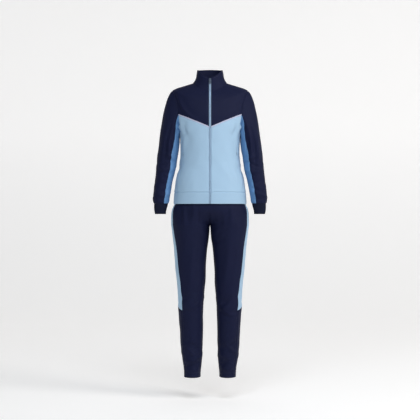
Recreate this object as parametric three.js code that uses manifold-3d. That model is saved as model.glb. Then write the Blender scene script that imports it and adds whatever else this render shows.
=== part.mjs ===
// A women's zip-front tracksuit, a jacket and trousers, as hollow cloth in the form it has when worn.
// Millimetres, +Z up, front towards -Y, the suit's own left side towards +X.
// Heights in the tables are above the floor. The finished group is lowered by ORIGIN_HEIGHT, so that
// its origin lies between the shoulder seams, where the jacket is carried.

import * as THREE from "three";
import { mergeVertices } from "three/addons/utils/BufferGeometryUtils.js";
import Module from "manifold-3d";

const wasm = await Module();
wasm.setup();

const ORIGIN_HEIGHT = 1440;

// Cloth and seams
const CLOTH = 2;
const DOUBLE_CLOTH = 3;
const SEAM_GAP = 0.3;
const ARMHOLE_GAP = 0.5;

// Heights of the jacket's seams, at the side of the body
const HEM_HEIGHT = 908;
const HEM_SEAM_HEIGHT = 961;
const ARMPIT_HEIGHT = 1225;
const SHOULDER_TIP_HEIGHT = 1432;
const NECK_HEIGHT = 1467;
const COLLAR_TOP_HEIGHT = 1531;

// The yoke's V: its point at the zip, and where it meets the armhole
const YOKE_POINT_HEIGHT = 1258.5;
const YOKE_END_HEIGHT = 1320;
const YOKE_END_X = 144;
const BACK_YOKE_HEIGHT = 1322;
const PIPING_WIDTH = 6;

// Half-angles of the armhole, seen from the body's axis
const ARMHOLE_FRONT_ANGLE = THREE.MathUtils.degToRad(32);
const ARMHOLE_BACK_ANGLE = THREE.MathUtils.degToRad(33);

// Sleeve seams between the navy upper and the blue under panel, as angles round the arm from its front.
// They start from nothing at the armhole, settle on the cap, and ease to the arm's own angle at the biceps.
const SLEEVE_TOP_HEIGHT = 1190;
const SLEEVE_SEAM_HEIGHT = 910.4;
const SLEEVE_SEAM_CAP_ANGLE = THREE.MathUtils.degToRad(33);
const SLEEVE_SEAM_ARM_ANGLE = THREE.MathUtils.degToRad(26.5);
const SLEEVE_SEAM_SETTLES = 0.8;
const SLEEVE_SEAM_EASES = 0.25;
const CUFF_TOP_HEIGHT = 909.8;
const CUFF_BOTTOM_HEIGHT = 861;

// Zip
const ZIP_HALF_WIDTH = 4.9;
const ZIP_TEETH_HALF_WIDTH = 1.7;
const ZIP_TAPE = 1.2;
const ZIP_TEETH = 2.2;
const ZIP_RECESS = 0.4;
const ZIP_TEETH_RISE = 0.5;
const COLLAR_NOTCH_HALF_WIDTH = 9;
const COLLAR_NOTCH_DEPTH = 10;
const COLLAR_FOOT_RISE = 5;

// Trousers
const TROUSER_HEM_HEIGHT = 104;
const CROTCH_HEIGHT = 812;
const LEG_SPLIT_HEIGHT = 893;
const TROUSER_TOP_HEIGHT = 975;
const WAISTBAND_TOP_HEIGHT = 1015;
const STRIP_FRONT_END_HEIGHT = 417;
const STRIP_BACK_END_HEIGHT = 445;
const PELVIS_FULLNESS = 2.2;

// Slider and pull tab
const SLIDER = { width: 9, height: 11, depth: 4.4, corner: 2.4, middleHeight: 1480, rootInside: 0.5 };
const BRIDGE = { width: 2, length: 7.6, reach: 4, wall: 1 };
const TAB = { width: 8.4, length: 22, thickness: 1.2, corner: 1.6, window: 4, windowLength: 4.4, bar: 1.2 };

// Radius taken where a seam's gap is turned into an angle
const GAP_RADIUS = { body: 150, sleeve: 50, leg: 60 };

// Numbers of the search for a place by halving, and the steps in which a surface's slope is measured
const HALVINGS = 32;
const FARTHEST_REACH = 4;
const ANGLE_STEP = 0.004;
const LEVEL_STEP = 0.6;
const YOKE_LEVEL_STEP = 0.3;
const SLEEVE_PLACE_STEP = 0.004;
const SLEEVE_ROWS = 19;
const SLEEVE_CAP_ROWS = 7;
const SLEEVE_LOWER_ROWS = 7;

const COLOURS = {
  navy: 0x292f4a,
  light_blue: 0xa9c6e0,
  mid_blue: 0x6f9ccb,
  piping: 0xcfd3e4,
  zip: 0x9dbbd8,
  metal: 0x7f858e,
};

// Jacket body. side: height at the body's side and key of the row. front, back: height of the same
// ring at the middle of the front and back. half: half-width. front_depth, back_depth: from the side
// plane forwards and backwards. full: how far the ring swells past an ellipse at its corners.
const BODY = tableOf(["side", "front", "back", "half", "front_depth", "back_depth", "full"], [
  [908, 908, 908, 169.5, 119, 122, 0.08],
  [933, 933, 933, 167.5, 120, 122, 0.08],
  [961, 961, 961, 165.5, 120, 120, 0.08],
  [989, 989, 989, 162, 117, 114, 0.08],
  [1017, 1017, 1017, 158, 113, 107, 0.08],
  [1045, 1045, 1045, 151.5, 108, 101, 0.08],
  [1072, 1072, 1072, 143.5, 104, 96, 0.08],
  [1100, 1100, 1100, 139, 102, 93, 0.08],
  [1128, 1128, 1128, 136.5, 103, 92, 0.08],
  [1156, 1156, 1156, 136, 106, 94, 0.08],
  [1190, 1190, 1190, 137.5, 110, 98, 0.07],
  [1225, 1223, 1224, 141, 115, 102, 0.06],
  [1275, 1259, 1268, 159, 119, 107, 0.04],
  [1328, 1299, 1315, 169, 117, 110, 0.02],
  [1380, 1336, 1361, 173, 109, 107, -0.01],
  [1432, 1375, 1406, 174.5, 97, 97, -0.07],
  [1444, 1391, 1422, 155, 89, 90, -0.07],
  [1453, 1404, 1437, 127, 81, 81, -0.06],
  [1463, 1419, 1454, 94, 68, 67, -0.03],
  [1467, 1426, 1462, 79, 62, 60, 0],
]);

// Collar, with the same columns: it stands on the neckline and leans in towards the neck.
const COLLAR = tableOf(["side", "front", "back", "half", "front_depth", "back_depth", "full"], [
  [1467.7, 1426.7, 1462.7, 78.6, 62, 60, 0],
  [1473, 1432, 1468, 75.5, 61, 56, 0],
  [1482, 1441, 1478, 70, 60, 52.5, 0.01],
  [1491, 1450, 1489, 65.8, 59.3, 50.5, 0.02],
  [1501, 1460, 1501, 63.8, 59, 49.5, 0.02],
  [1519, 1478, 1522, 61, 59, 49, 0.02],
  [1531, 1490, 1537, 57.8, 59, 48.5, 0.02],
]);

// Sleeve below the biceps: across: distance of its middle from the body's middle. ahead: how far
// the middle stands behind the side plane (negative is ahead of it).
const SLEEVE = tableOf(["height", "across", "ahead", "half", "depth"], [
  [909, 226.5, -25, 32.5, 33],
  [916, 226.6, -24.5, 35.2, 35.5],
  [924, 226.5, -24, 37.8, 38],
  [933, 226.2, -23, 38.3, 39],
  [961, 222.5, -20, 39.5, 41.5],
  [989, 218.5, -16, 41, 44],
  [1017, 214, -12, 42, 46.5],
  [1045, 208.8, -8, 43.8, 49],
  [1072, 204.2, -5, 46.2, 52],
  [1100, 200.5, -3, 46.5, 54],
  [1128, 198.2, -1.5, 47.3, 57],
  [1156, 193.6, -0.5, 48.4, 60],
  [1190, 189.4, 0, 48.5, 62],
]);

// Knitted cuff
const CUFF = tableOf(["height", "across", "ahead", "half", "depth"], [
  [861, 229.4, -29, 25.4, 26],
  [868, 229.4, -28.6, 26, 27],
  [880, 229, -28, 28, 29],
  [896, 227.6, -26.6, 30.4, 31.5],
  [909.8, 226.5, -25.2, 31.4, 32.2],
]);

// Trouser leg, with the sleeve's columns.
const LEG = tableOf(["height", "across", "ahead", "half", "depth"], [
  [104, 82.2, 14, 38.6, 50],
  [124, 82.2, 14, 38.8, 50.5],
  [152, 82.4, 14.5, 41.3, 52],
  [208, 83.8, 15, 48.2, 56],
  [263, 86.2, 14, 51.2, 60],
  [319, 87, 11, 53.5, 62.5],
  [375, 88.8, 8, 55.8, 64],
  [431, 89.7, 4, 58.3, 64.5],
  [487, 88, 1, 61, 66],
  [542, 87.8, 0, 65.2, 69],
  [598, 90.2, 0, 69.8, 74],
  [654, 90.8, 2, 73.2, 80],
  [710, 90, 4, 78.5, 87],
  [766, 90.2, 6, 85.8, 96],
  [802, 91, 6, 89, 101],
  [812, 90.6, 6, 90.3, 103],
  [880, 90.6, 6, 90.3, 104],
  [975, 90.6, 2, 90.3, 96],
]);

// Angle of the side strip's seams round the leg, from its front or back, at the heights where the
// seams bend.
const STRIP_ANGLE = { hem: 47, end: 43, crotch: 64.5, split: 65, top: 62 };
const TROUSER_ROWS = { lower: 6, upper: 8, split: 6, top: 5 };

// Trousers above the legs, as one ring round both, from the waistband down to the seat.
const PELVIS = tableOf(["height", "half", "front_depth", "back_depth"], [
  [803, 180.8, 100, 116],
  [821, 181.4, 105, 121],
  [849, 181, 110, 124],
  [877, 178, 112.5, 123],
  [890, 174, 112.5, 121],
  [900, 168.4, 111, 117.5],
  [908, 164.8, 110, 115],
  [925, 160, 107, 111],
  [950, 148, 102, 103],
  [975, 131, 97, 92],
  [1015, 126, 93, 88],
]);

// Largest folds. across and height: the fold's middle, with across as an angle in degrees round the
// tube from its front. turn: slope of the fold's run, in degrees. run, spread: half-length and
// half-width. push: height of the fold outwards, negative for a trough.
const FOLD_COLUMNS = ["side", "across", "height", "turn", "run", "spread", "push"];
const BODY_FOLDS = foldsOf([
  [1, 50, 1265, -70, 45, 12, -5],
  [1, 58, 1200, -80, 40, 13, 4],
  [-1, 50, 1255, -70, 45, 12, -5],
  [-1, 58, 1190, -78, 38, 13, 4],
  [1, 18, 1087, -63, 90, 16, 2.5],
  [-1, 45, 1372, 50, 55, 15, 2.5],
  [1, 80, 1060, 12, 55, 13, -1.6],
  [-1, 84, 1075, -8, 60, 14, -1.6],
  [1, 150, 1120, 10, 80, 18, -4],
  [-1, 155, 1085, -12, 80, 18, -4],
]);
const SLEEVE_FOLDS = foldsOf([
  [1, 300, 1097, 8, 60, 11, -3.5],
  [1, 320, 1062, -14, 45, 10, 3.5],
  [1, 20, 1010, 22, 45, 12, -3],
  [1, 10, 950, -10, 50, 10, 3.2],
  [1, 200, 1080, -12, 60, 14, -4],
  [-1, 300, 1102, 6, 58, 11, -3.5],
  [-1, 325, 1068, -10, 45, 10, 3.5],
  [-1, 15, 1000, 18, 45, 12, -3],
  [-1, 355, 944, -12, 50, 10, 3.2],
  [-1, 205, 1070, -14, 60, 14, -4],
]);
const LEG_FOLDS = foldsOf([
  [1, 20, 472, 18, 60, 15, -4.5],
  [1, 340, 430, -20, 55, 14, 4],
  [1, 10, 255, 20, 60, 14, -4.5],
  [1, 345, 205, -15, 50, 13, 4],
  [1, 180, 450, 5, 70, 18, -5],
  [1, 190, 240, -12, 70, 18, -4.5],
  [-1, 15, 480, -16, 60, 15, -3.5],
  [-1, 330, 240, 22, 60, 14, -4.5],
  [-1, 350, 190, -14, 50, 13, 4],
  [-1, 175, 460, -6, 70, 18, -5],
  [-1, 185, 250, 10, 70, 18, -4.5],
  [1, 5, 860, 90, 50, 12, 3.5],
  [-1, 350, 860, 90, 45, 12, 3.5],
]);

/** Reads a short table: one row for each section, its key in the first column. */
function tableOf(columns, rows) {
  const keys = rows.map((row) => row[0]);
  const curves = columns.slice(1).map((_, index) => curveThrough(keys, rows.map((row) => row[index + 1])));
  return (key) => {
    const section = {};
    columns.slice(1).forEach((name, index) => {
      section[name] = curves[index](key);
    });
    return section;
  };
}

/** A smooth curve through the values that never swings past them. */
function curveThrough(keys, values) {
  const count = keys.length;
  const slopes = [];
  for (let i = 0; i + 1 < count; i++) {
    slopes.push((values[i + 1] - values[i]) / (keys[i + 1] - keys[i]));
  }
  const tangents = keys.map((_, i) => {
    if (i === 0) return slopes[0];
    if (i === count - 1) return slopes[count - 2];
    const before = slopes[i - 1];
    const after = slopes[i];
    return before * after <= 0 ? 0 : (2 * before * after) / (before + after);
  });
  return (key) => {
    const at = THREE.MathUtils.clamp(key, keys[0], keys[count - 1]);
    let i = 0;
    while (i + 2 < count && at > keys[i + 1]) i++;
    const width = keys[i + 1] - keys[i];
    const t = (at - keys[i]) / width;
    const inside =
      (2 * t ** 3 - 3 * t ** 2 + 1) * values[i] +
      (t ** 3 - 2 * t ** 2 + t) * width * tangents[i] +
      (3 * t ** 2 - 2 * t ** 3) * values[i + 1] +
      (t ** 3 - t ** 2) * width * tangents[i + 1];
    const beyond = key < at ? (key - at) * tangents[0] : (key - at) * tangents[count - 1];
    return inside + beyond;
  };
}

/** Turns rows of fold numbers into named folds. */
function foldsOf(rows) {
  return rows.map((row) => Object.fromEntries(FOLD_COLUMNS.map((name, index) => [name, row[index]])));
}

/**
 * How far the folds push the cloth out at an angle and height on a tube of that radius. A fold of the
 * other side counts too where the tube goes round both, with its angle and slope the other way round.
 */
function foldPush(folds, side, angle, height, radius, roundBoth = false) {
  let push = 0;
  for (const fold of folds) {
    if (fold.side !== side && !roundBoth) continue;
    const way = fold.side === side ? 1 : -1;
    const turned = angle - way * THREE.MathUtils.degToRad(fold.across);
    const round = Math.atan2(Math.sin(turned), Math.cos(turned)) * radius;
    const rise = height - fold.height;
    const slope = way * THREE.MathUtils.degToRad(fold.turn);
    const along = (round * Math.cos(slope) + rise * Math.sin(slope)) / fold.run;
    const off = (rise * Math.cos(slope) - round * Math.sin(slope)) / fold.spread;
    push += fold.push * Math.exp(-along * along - off * off);
  }
  return push;
}

/** A point on a ring of the body or collar: angle 0 at the front, a quarter turn at the body's side. */
function ringPoint(ring, side, angle) {
  const s = Math.sin(angle);
  const c = Math.cos(angle);
  const depth = c > 0 ? ring.front_depth : ring.back_depth;
  const end = c > 0 ? ring.front : ring.back;
  return new THREE.Vector3(
    ring.half * s * (1 + ring.full * c * c),
    -depth * c * (1 + ring.full * s * s),
    side + (end - side) * c * c,
  );
}

/** The jacket body's outer surface on one side. */
function bodyAt(side) {
  return (angle, level) => {
    const point = ringPoint(BODY(level), level, angle);
    const radius = Math.hypot(point.x, point.y);
    const push = foldPush(BODY_FOLDS, side, angle, level, radius, true);
    point.x *= 1 + push / radius;
    point.y *= 1 + push / radius;
    return point;
  };
}

/** The collar's outer surface. */
function collarAt(angle, level) {
  return ringPoint(COLLAR(level), level, angle);
}

/** Level of the armhole's edge: step 0 at the armpit, 1 at the shoulder's tip, close together at both. */
function armholeLevel(step) {
  const part = (1 - Math.cos(Math.PI * step)) / 2;
  return ARMPIT_HEIGHT + (SHOULDER_TIP_HEIGHT - ARMPIT_HEIGHT) * part;
}

/** Half-angle of the armhole at a level, 0 below the armpit and above the tip. */
function armholeHalfAngle(level, widest) {
  const part = (level - ARMPIT_HEIGHT) / (SHOULDER_TIP_HEIGHT - ARMPIT_HEIGHT);
  return part > 0 && part < 1 ? widest * 2 * Math.sqrt(part * (1 - part)) : 0;
}

/** Angle of the body's edge at the armhole, side seam or shoulder seam. */
function sideAngle(level, back) {
  const half = armholeHalfAngle(level, back ? ARMHOLE_BACK_ANGLE : ARMHOLE_FRONT_ANGLE);
  return Math.PI / 2 + (back ? half : -half);
}

/** The armhole's edge, by angle round the arm: -90 degrees at the armpit, 0 in front, 90 at the tip. */
function armholePoint(side, angle) {
  const front = Math.cos(angle) >= 0;
  const step = Math.asin(Math.sin(angle)) / Math.PI + 0.5;
  const level = armholeLevel(step);
  const point = bodyAt(side)(sideAngle(level, !front), level);
  point.x += ARMHOLE_GAP;
  return point;
}

/** A ring of the sleeve or cuff. */
function armRing(table, angle, height) {
  const ring = table(height);
  return new THREE.Vector3(
    ring.across + ring.half * Math.sin(angle),
    ring.ahead - ring.depth * Math.cos(angle),
    height,
  );
}

/** Directions in which the sleeve's cap leaves the armhole, with their pull. */
const CAP_LEAVES_TOP = new THREE.Vector3(100, 0, -40);
const CAP_LEAVES_FRONT = new THREE.Vector3(78, -10, -60);
const CAP_LEAVES_BACK = new THREE.Vector3(78, 12, -60);
const CAP_LEAVES_ARMPIT = new THREE.Vector3(2, 0, -30);
const CAP_PULL = { top: 250, front: 130, armpit: 33 };

/** The sleeve's cap: part 0 at the armhole, 1 at the biceps. */
function capPoint(side, angle, part) {
  const upper = Math.max(Math.sin(angle), 0) ** 2;
  const lower = Math.max(-Math.sin(angle), 0) ** 2;
  const middle = Math.cos(angle) ** 2;
  const leaves = new THREE.Vector3()
    .addScaledVector(CAP_LEAVES_TOP, upper)
    .addScaledVector(CAP_LEAVES_ARMPIT, lower)
    .addScaledVector(Math.cos(angle) > 0 ? CAP_LEAVES_FRONT : CAP_LEAVES_BACK, middle);
  const pull = CAP_PULL.top * upper + CAP_PULL.armpit * lower + CAP_PULL.front * middle;
  const end = armRing(SLEEVE, angle, SLEEVE_TOP_HEIGHT);
  const arrives = armRing(SLEEVE, angle, SLEEVE_TOP_HEIGHT - 5).sub(end).setLength(pull);
  return new THREE.Vector3()
    .addScaledVector(armholePoint(side, angle), 2 * part ** 3 - 3 * part ** 2 + 1)
    .addScaledVector(leaves, part ** 3 - 2 * part ** 2 + part)
    .addScaledVector(end, 3 * part ** 2 - 2 * part ** 3)
    .addScaledVector(arrives, part ** 3 - part ** 2);
}

/** The sleeve's outer surface. place: 1 at the armhole, 0 at the biceps, -1 at the cuff. */
function sleeveAt(side) {
  return (angle, place) => {
    const height = SLEEVE_TOP_HEIGHT + place * (SLEEVE_TOP_HEIGHT - SLEEVE_SEAM_HEIGHT);
    const point = place > 0 ? capPoint(side, angle, 1 - place) : armRing(SLEEVE, angle, height);
    const ring = SLEEVE(point.z);
    const x = point.x - ring.across;
    const y = point.y - ring.ahead;
    const radius = Math.hypot(x, y);
    const push = place > 0 ? 0 : foldPush(SLEEVE_FOLDS, side, angle, height, radius);
    point.x += (x * push) / radius;
    point.y += (y * push) / radius;
    return point;
  };
}

/** The cuff's outer surface. */
function cuffAt(angle, height) {
  return armRing(CUFF, angle, height);
}

/** How many times a step from a place has to be taken to reach the ring round the pelvis. */
function reachOfPelvis(height, from, step) {
  const ring = PELVIS(height);
  let near = 0;
  let far = FARTHEST_REACH;
  for (let turn = 0; turn < HALVINGS; turn++) {
    const reach = (near + far) / 2;
    const x = from.x + step.x * reach;
    const y = from.y + step.y * reach;
    const depth = y < 0 ? ring.front_depth : ring.back_depth;
    const across = Math.abs(x / ring.half) ** PELVIS_FULLNESS;
    const ahead = Math.abs(y / depth) ** PELVIS_FULLNESS;
    if (across + ahead < 1) near = reach;
    else far = reach;
  }
  return near;
}

/** How much the section belongs to the leg alone: 0 above the split, 1 at the crotch. */
function legShare(height) {
  const down = THREE.MathUtils.clamp((LEG_SPLIT_HEIGHT - height) / (LEG_SPLIT_HEIGHT - CROTCH_HEIGHT), 0, 1);
  return 1 - (1 - down * down) ** 2;
}

/** The trousers' outer surface on one side, by angle round the leg's middle. */
function trousersAt(side) {
  return (angle, height) => {
    const leg = LEG(height);
    const middle = new THREE.Vector2(leg.across, leg.ahead);
    const step = new THREE.Vector2(leg.half * Math.sin(angle), -leg.depth * Math.cos(angle));
    const share = legShare(height);
    const reach = share === 1 ? 1 : share + (1 - share) * reachOfPelvis(height, middle, step);
    const radius = step.length() * reach;
    const push = foldPush(LEG_FOLDS, side, angle, height, radius);
    const out = reach + push / step.length();
    return new THREE.Vector3(middle.x + step.x * out, middle.y + step.y * out, height);
  };
}

/** The waistband's outer surface, by angle round the body's middle. */
function waistbandAt(angle, height) {
  const start = GAP_RADIUS.leg;
  const step = new THREE.Vector2(start * Math.sin(angle), -start * Math.cos(angle));
  const reach = reachOfPelvis(height, new THREE.Vector2(0, 0), step);
  return new THREE.Vector3(step.x * reach, step.y * reach, height);
}

/** Angle at which the trousers' surface meets the middle plane, in front or at the back. */
function middleSeamAngle(side, height, back) {
  const inseam = back ? (3 * Math.PI) / 2 : -Math.PI / 2;
  if (height <= CROTCH_HEIGHT) return inseam;
  const surface = trousersAt(side);
  let inner = inseam;
  let outer = back ? Math.PI : 0;
  for (let turn = 0; turn < HALVINGS; turn++) {
    const angle = (inner + outer) / 2;
    if (surface(angle, height).x < SEAM_GAP / 2) inner = angle;
    else outer = angle;
  }
  return outer;
}

/** Angle of the jacket's front edge beside the zip. */
function frontEdgeAngle(surface, level, distance) {
  let near = 0;
  let far = Math.PI / 4;
  for (let turn = 0; turn < HALVINGS; turn++) {
    const angle = (near + far) / 2;
    if (surface(angle, level).x < distance) near = angle;
    else far = angle;
  }
  return far;
}

/** The outward normal of a surface whose angle runs from front to side and whose level runs up. */
function normalOf(surface, angle, level, levelStep) {
  const round = surface(angle + ANGLE_STEP, level).sub(surface(angle - ANGLE_STEP, level));
  const up = surface(angle, level + levelStep).sub(surface(angle, level - levelStep));
  return round.cross(up).normalize();
}

/**
 * A panel of cloth with a wall of even thickness. place(u, v) gives the angle and level of each point,
 * with u and v from 0 to 1, and the surface gives the outer points.
 */
function panel(surface, columns, rows, place, options = {}) {
  const { thickness = CLOTH, levelStep = LEVEL_STEP, closed = false } = options;
  const outer = [];
  const inner = [];
  for (let row = 0; row <= rows; row++) {
    for (let column = 0; column <= columns; column++) {
      const [angle, level] = place(column / columns, row / rows);
      const point = surface(angle, level);
      const normal = normalOf(surface, angle, level, levelStep);
      outer.push(point.clone());
      inner.push(point.addScaledVector(normal, -thickness));
    }
  }
  return wallBetween(outer, inner, columns, rows, closed);
}

/** Joins an outer and an inner grid of points into one closed wall. */
function wallBetween(outer, inner, columns, rows, closed) {
  const count = outer.length;
  const index = [];
  const at = (row, column) => row * (columns + 1) + (closed ? column % columns : column);
  const quad = (a, b, c, d) => index.push(a, b, c, a, c, d);
  for (let row = 0; row < rows; row++) {
    for (let column = 0; column < columns; column++) {
      const a = at(row, column);
      const b = at(row, column + 1);
      const c = at(row + 1, column + 1);
      const d = at(row + 1, column);
      quad(a, b, c, d);
      quad(d + count, c + count, b + count, a + count);
    }
  }
  for (let column = 0; column < columns; column++) {
    const low = at(0, column);
    const lowNext = at(0, column + 1);
    const high = at(rows, column);
    const highNext = at(rows, column + 1);
    quad(lowNext, low, low + count, lowNext + count);
    quad(high, highNext, highNext + count, high + count);
  }
  for (let row = 0; row < rows && !closed; row++) {
    const first = at(row, 0);
    const firstUp = at(row + 1, 0);
    const last = at(row, columns);
    const lastUp = at(row + 1, columns);
    quad(first, firstUp, firstUp + count, first + count);
    quad(lastUp, last, last + count, lastUp + count);
  }
  const geometry = new THREE.BufferGeometry();
  const numbers = [...outer, ...inner].flatMap((point) => point.toArray());
  geometry.setAttribute("position", new THREE.Float32BufferAttribute(numbers, 3));
  geometry.setIndex(index);
  return outwards(geometry);
}

/** Turns every triangle over when the wall's volume comes out negative. */
function outwards(geometry) {
  const index = geometry.index.array;
  const position = geometry.attributes.position;
  const [a, b, c] = [new THREE.Vector3(), new THREE.Vector3(), new THREE.Vector3()];
  let volume = 0;
  for (let i = 0; i < index.length; i += 3) {
    a.fromBufferAttribute(position, index[i]);
    b.fromBufferAttribute(position, index[i + 1]);
    c.fromBufferAttribute(position, index[i + 2]);
    volume += a.dot(b.cross(c)) / 6;
  }
  if (volume < 0) {
    for (let i = 0; i < index.length; i += 3) {
      [index[i + 1], index[i + 2]] = [index[i + 2], index[i + 1]];
    }
  }
  return geometry;
}

/** The same wall on the suit's other side. */
function mirrored(geometry) {
  const copy = geometry.clone();
  const position = copy.attributes.position;
  for (let i = 0; i < position.count; i++) position.setX(i, -position.getX(i));
  return outwards(copy);
}

const suit = new THREE.Group();
suit.position.z = -ORIGIN_HEIGHT;

/** Adds a named piece in its own colour. */
function piece(name, geometry, colour, { roughness = 0.75, metalness = 0 } = {}) {
  geometry.computeVertexNormals();
  const material = new THREE.MeshStandardMaterial({ color: COLOURS[colour], roughness, metalness });
  const mesh = new THREE.Mesh(geometry, material);
  mesh.name = name;
  suit.add(mesh);
}

/** Adds a piece to the suit's left side, or its mirror image to the right. */
function sidedPiece(name, side, geometry, colour) {
  const label = side > 0 ? "left" : "right";
  piece(`${name}_${label}`, side > 0 ? geometry : mirrored(geometry), colour);
}

/** Finds the armhole step at which a line across the body has the height wanted at that place. */
function stepWhere(surface, part, back, heightWanted) {
  let low = 0;
  let high = 1;
  for (let turn = 0; turn < HALVINGS; turn++) {
    const step = (low + high) / 2;
    const level = armholeLevel(step);
    const point = surface(bodyAngle(surface, part, level, back), level);
    if (point.z < heightWanted(point.x)) low = step;
    else high = step;
  }
  return high;
}

/** Angle of a place on the front or back: part 0 at the zip or the middle of the back, 1 at the side. */
function bodyAngle(surface, part, level, back) {
  const gap = SEAM_GAP / 2 / GAP_RADIUS.body;
  if (back) return Math.PI + part * (sideAngle(level, true) + gap - Math.PI);
  const edge = frontEdgeAngle(surface, level, ZIP_HALF_WIDTH + SEAM_GAP);
  return edge + part * (sideAngle(level, false) - gap - edge);
}

/** Height of the front yoke's seam at a distance from the zip. */
function yokeSeamHeight(x) {
  return YOKE_POINT_HEIGHT + ((YOKE_END_HEIGHT - YOKE_POINT_HEIGHT) * x) / YOKE_END_X;
}

/** Places of a panel from the hem seam up to a line above the armpit. */
function lowerBody(surface, back, seamHeight, rows, rowsBelowArmpit) {
  const armpitPart = rowsBelowArmpit / rows;
  return (u, v) => {
    if (v <= armpitPart) {
      const bottom = HEM_SEAM_HEIGHT + SEAM_GAP;
      const level = bottom + (ARMPIT_HEIGHT - bottom) * (v / armpitPart);
      return [bodyAngle(surface, u, level, back), level];
    }
    const top = stepWhere(surface, u, back, seamHeight);
    const level = armholeLevel((top * (v - armpitPart)) / (1 - armpitPart));
    return [bodyAngle(surface, u, level, back), level];
  };
}

/** Places of a narrow band between two lines across the body. */
function bodyBand(surface, back, lowHeight, highHeight) {
  return (u, v) => {
    const low = stepWhere(surface, u, back, lowHeight);
    const high = stepWhere(surface, u, back, highHeight);
    const level = armholeLevel(low + (high - low) * v);
    return [bodyAngle(surface, u, level, back), level];
  };
}

/** Places of a yoke, from its seam over the shoulder to the neckline. */
function upperBody(surface, back, seamHeight, rows, rowsBelowTip) {
  const tipPart = rowsBelowTip / rows;
  return (u, v) => {
    if (v <= tipPart) {
      const low = stepWhere(surface, u, back, seamHeight);
      const level = armholeLevel(low + (1 - low) * (v / tipPart));
      return [bodyAngle(surface, u, level, back), level];
    }
    const up = (v - tipPart) / (1 - tipPart);
    const level = SHOULDER_TIP_HEIGHT + (NECK_HEIGHT - SHOULDER_TIP_HEIGHT) * up;
    return [bodyAngle(surface, u, level, back), level];
  };
}

/** The jacket's fronts: light blue panels, piping and yokes. */
function makeFronts(side) {
  const surface = bodyAt(side);
  const underPiping = (x) => yokeSeamHeight(x) - PIPING_WIDTH - 2 * SEAM_GAP;
  const pipingLow = (x) => yokeSeamHeight(x) - PIPING_WIDTH - SEAM_GAP;
  const pipingHigh = (x) => yokeSeamHeight(x) - SEAM_GAP;
  const front = panel(surface, 8, 17, lowerBody(surface, false, underPiping, 17, 11));
  sidedPiece("jacket_front", side, front, "light_blue");
  const piping = panel(surface, 8, 1, bodyBand(surface, false, pipingLow, pipingHigh));
  sidedPiece("jacket_piping", side, piping, "piping");
  const yokePlaces = upperBody(surface, false, yokeSeamHeight, 12, 7);
  const yoke = panel(surface, 8, 12, yokePlaces, { levelStep: YOKE_LEVEL_STEP });
  sidedPiece("jacket_front_yoke", side, yoke, "navy");
}

/** Places of a back panel that runs from one side of the body to the other. */
function wholeBack(halfPlaces) {
  return (u, v) => {
    const part = Math.abs(2 * u - 1);
    const [angle, level] = halfPlaces(part, v);
    return [u < 0.5 ? angle : 2 * Math.PI - angle, level];
  };
}

/** The body's surface all round, with the folds of either side. */
function wholeBodyAt(angle, level) {
  const turned = Math.atan2(Math.sin(angle), Math.cos(angle));
  const point = bodyAt(turned < 0 ? -1 : 1)(Math.abs(turned), level);
  if (turned < 0) point.x = -point.x;
  return point;
}

/** The jacket's back and its yoke. */
function makeBack() {
  const surface = bodyAt(1);
  const below = () => BACK_YOKE_HEIGHT - SEAM_GAP;
  const seam = () => BACK_YOKE_HEIGHT;
  const back = panel(wholeBodyAt, 16, 17, wholeBack(lowerBody(surface, true, below, 17, 11)));
  piece("jacket_back", back, "light_blue");
  const yokePlaces = wholeBack(upperBody(surface, true, seam, 11, 6));
  const yoke = panel(wholeBodyAt, 16, 11, yokePlaces, { levelStep: YOKE_LEVEL_STEP });
  piece("jacket_back_yoke", yoke, "navy");
}

/** Places of a ring that is open at the zip. notch(level) is the half-width of that opening. */
function openRing(surface, bottom, top, notch) {
  return (u, v) => {
    const level = bottom + (top - bottom) * v;
    const edge = frontEdgeAngle(surface, level, notch(level));
    return [edge + (2 * Math.PI - 2 * edge) * u, level];
  };
}

/** Hem band and collar. */
function makeBands() {
  const edge = ZIP_HALF_WIDTH + SEAM_GAP;
  const bandPlaces = openRing(wholeBodyAt, HEM_HEIGHT, HEM_SEAM_HEIGHT - SEAM_GAP, () => edge);
  const band = panel(wholeBodyAt, 40, 2, bandPlaces, { thickness: DOUBLE_CLOTH });
  piece("jacket_hem_band", band, "light_blue");
  const notch = (level) => {
    const up = Math.max(0, (level - COLLAR_TOP_HEIGHT + COLLAR_NOTCH_DEPTH) / COLLAR_NOTCH_DEPTH);
    return edge + (COLLAR_NOTCH_HALF_WIDTH - edge) * up * up;
  };
  const bottom = NECK_HEIGHT + 2 * SEAM_GAP;
  const places = openRing(collarAt, bottom, COLLAR_TOP_HEIGHT, notch);
  const collar = panel(collarAt, 28, 6, places, { thickness: DOUBLE_CLOTH });
  piece("jacket_collar", collar, "navy");
}

/** Angle of the sleeve's front and back seams at a place along it. */
function sleeveSeamAngle(place, back) {
  const settled = Math.min((1 - Math.max(place, 0)) / SLEEVE_SEAM_SETTLES, 1);
  const onCap = THREE.MathUtils.smoothstep(place, -SLEEVE_SEAM_EASES, SLEEVE_SEAM_EASES);
  const whole = THREE.MathUtils.lerp(SLEEVE_SEAM_ARM_ANGLE, SLEEVE_SEAM_CAP_ANGLE, onCap);
  const angle = whole * settled * (2 - settled);
  return back ? Math.PI + angle : -angle;
}

/** The places of a panel's stretch, from one share of its height to another. */
function stretchOf(places, low, high) {
  return (u, v) => places(u, low + (high - low) * v);
}

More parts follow.
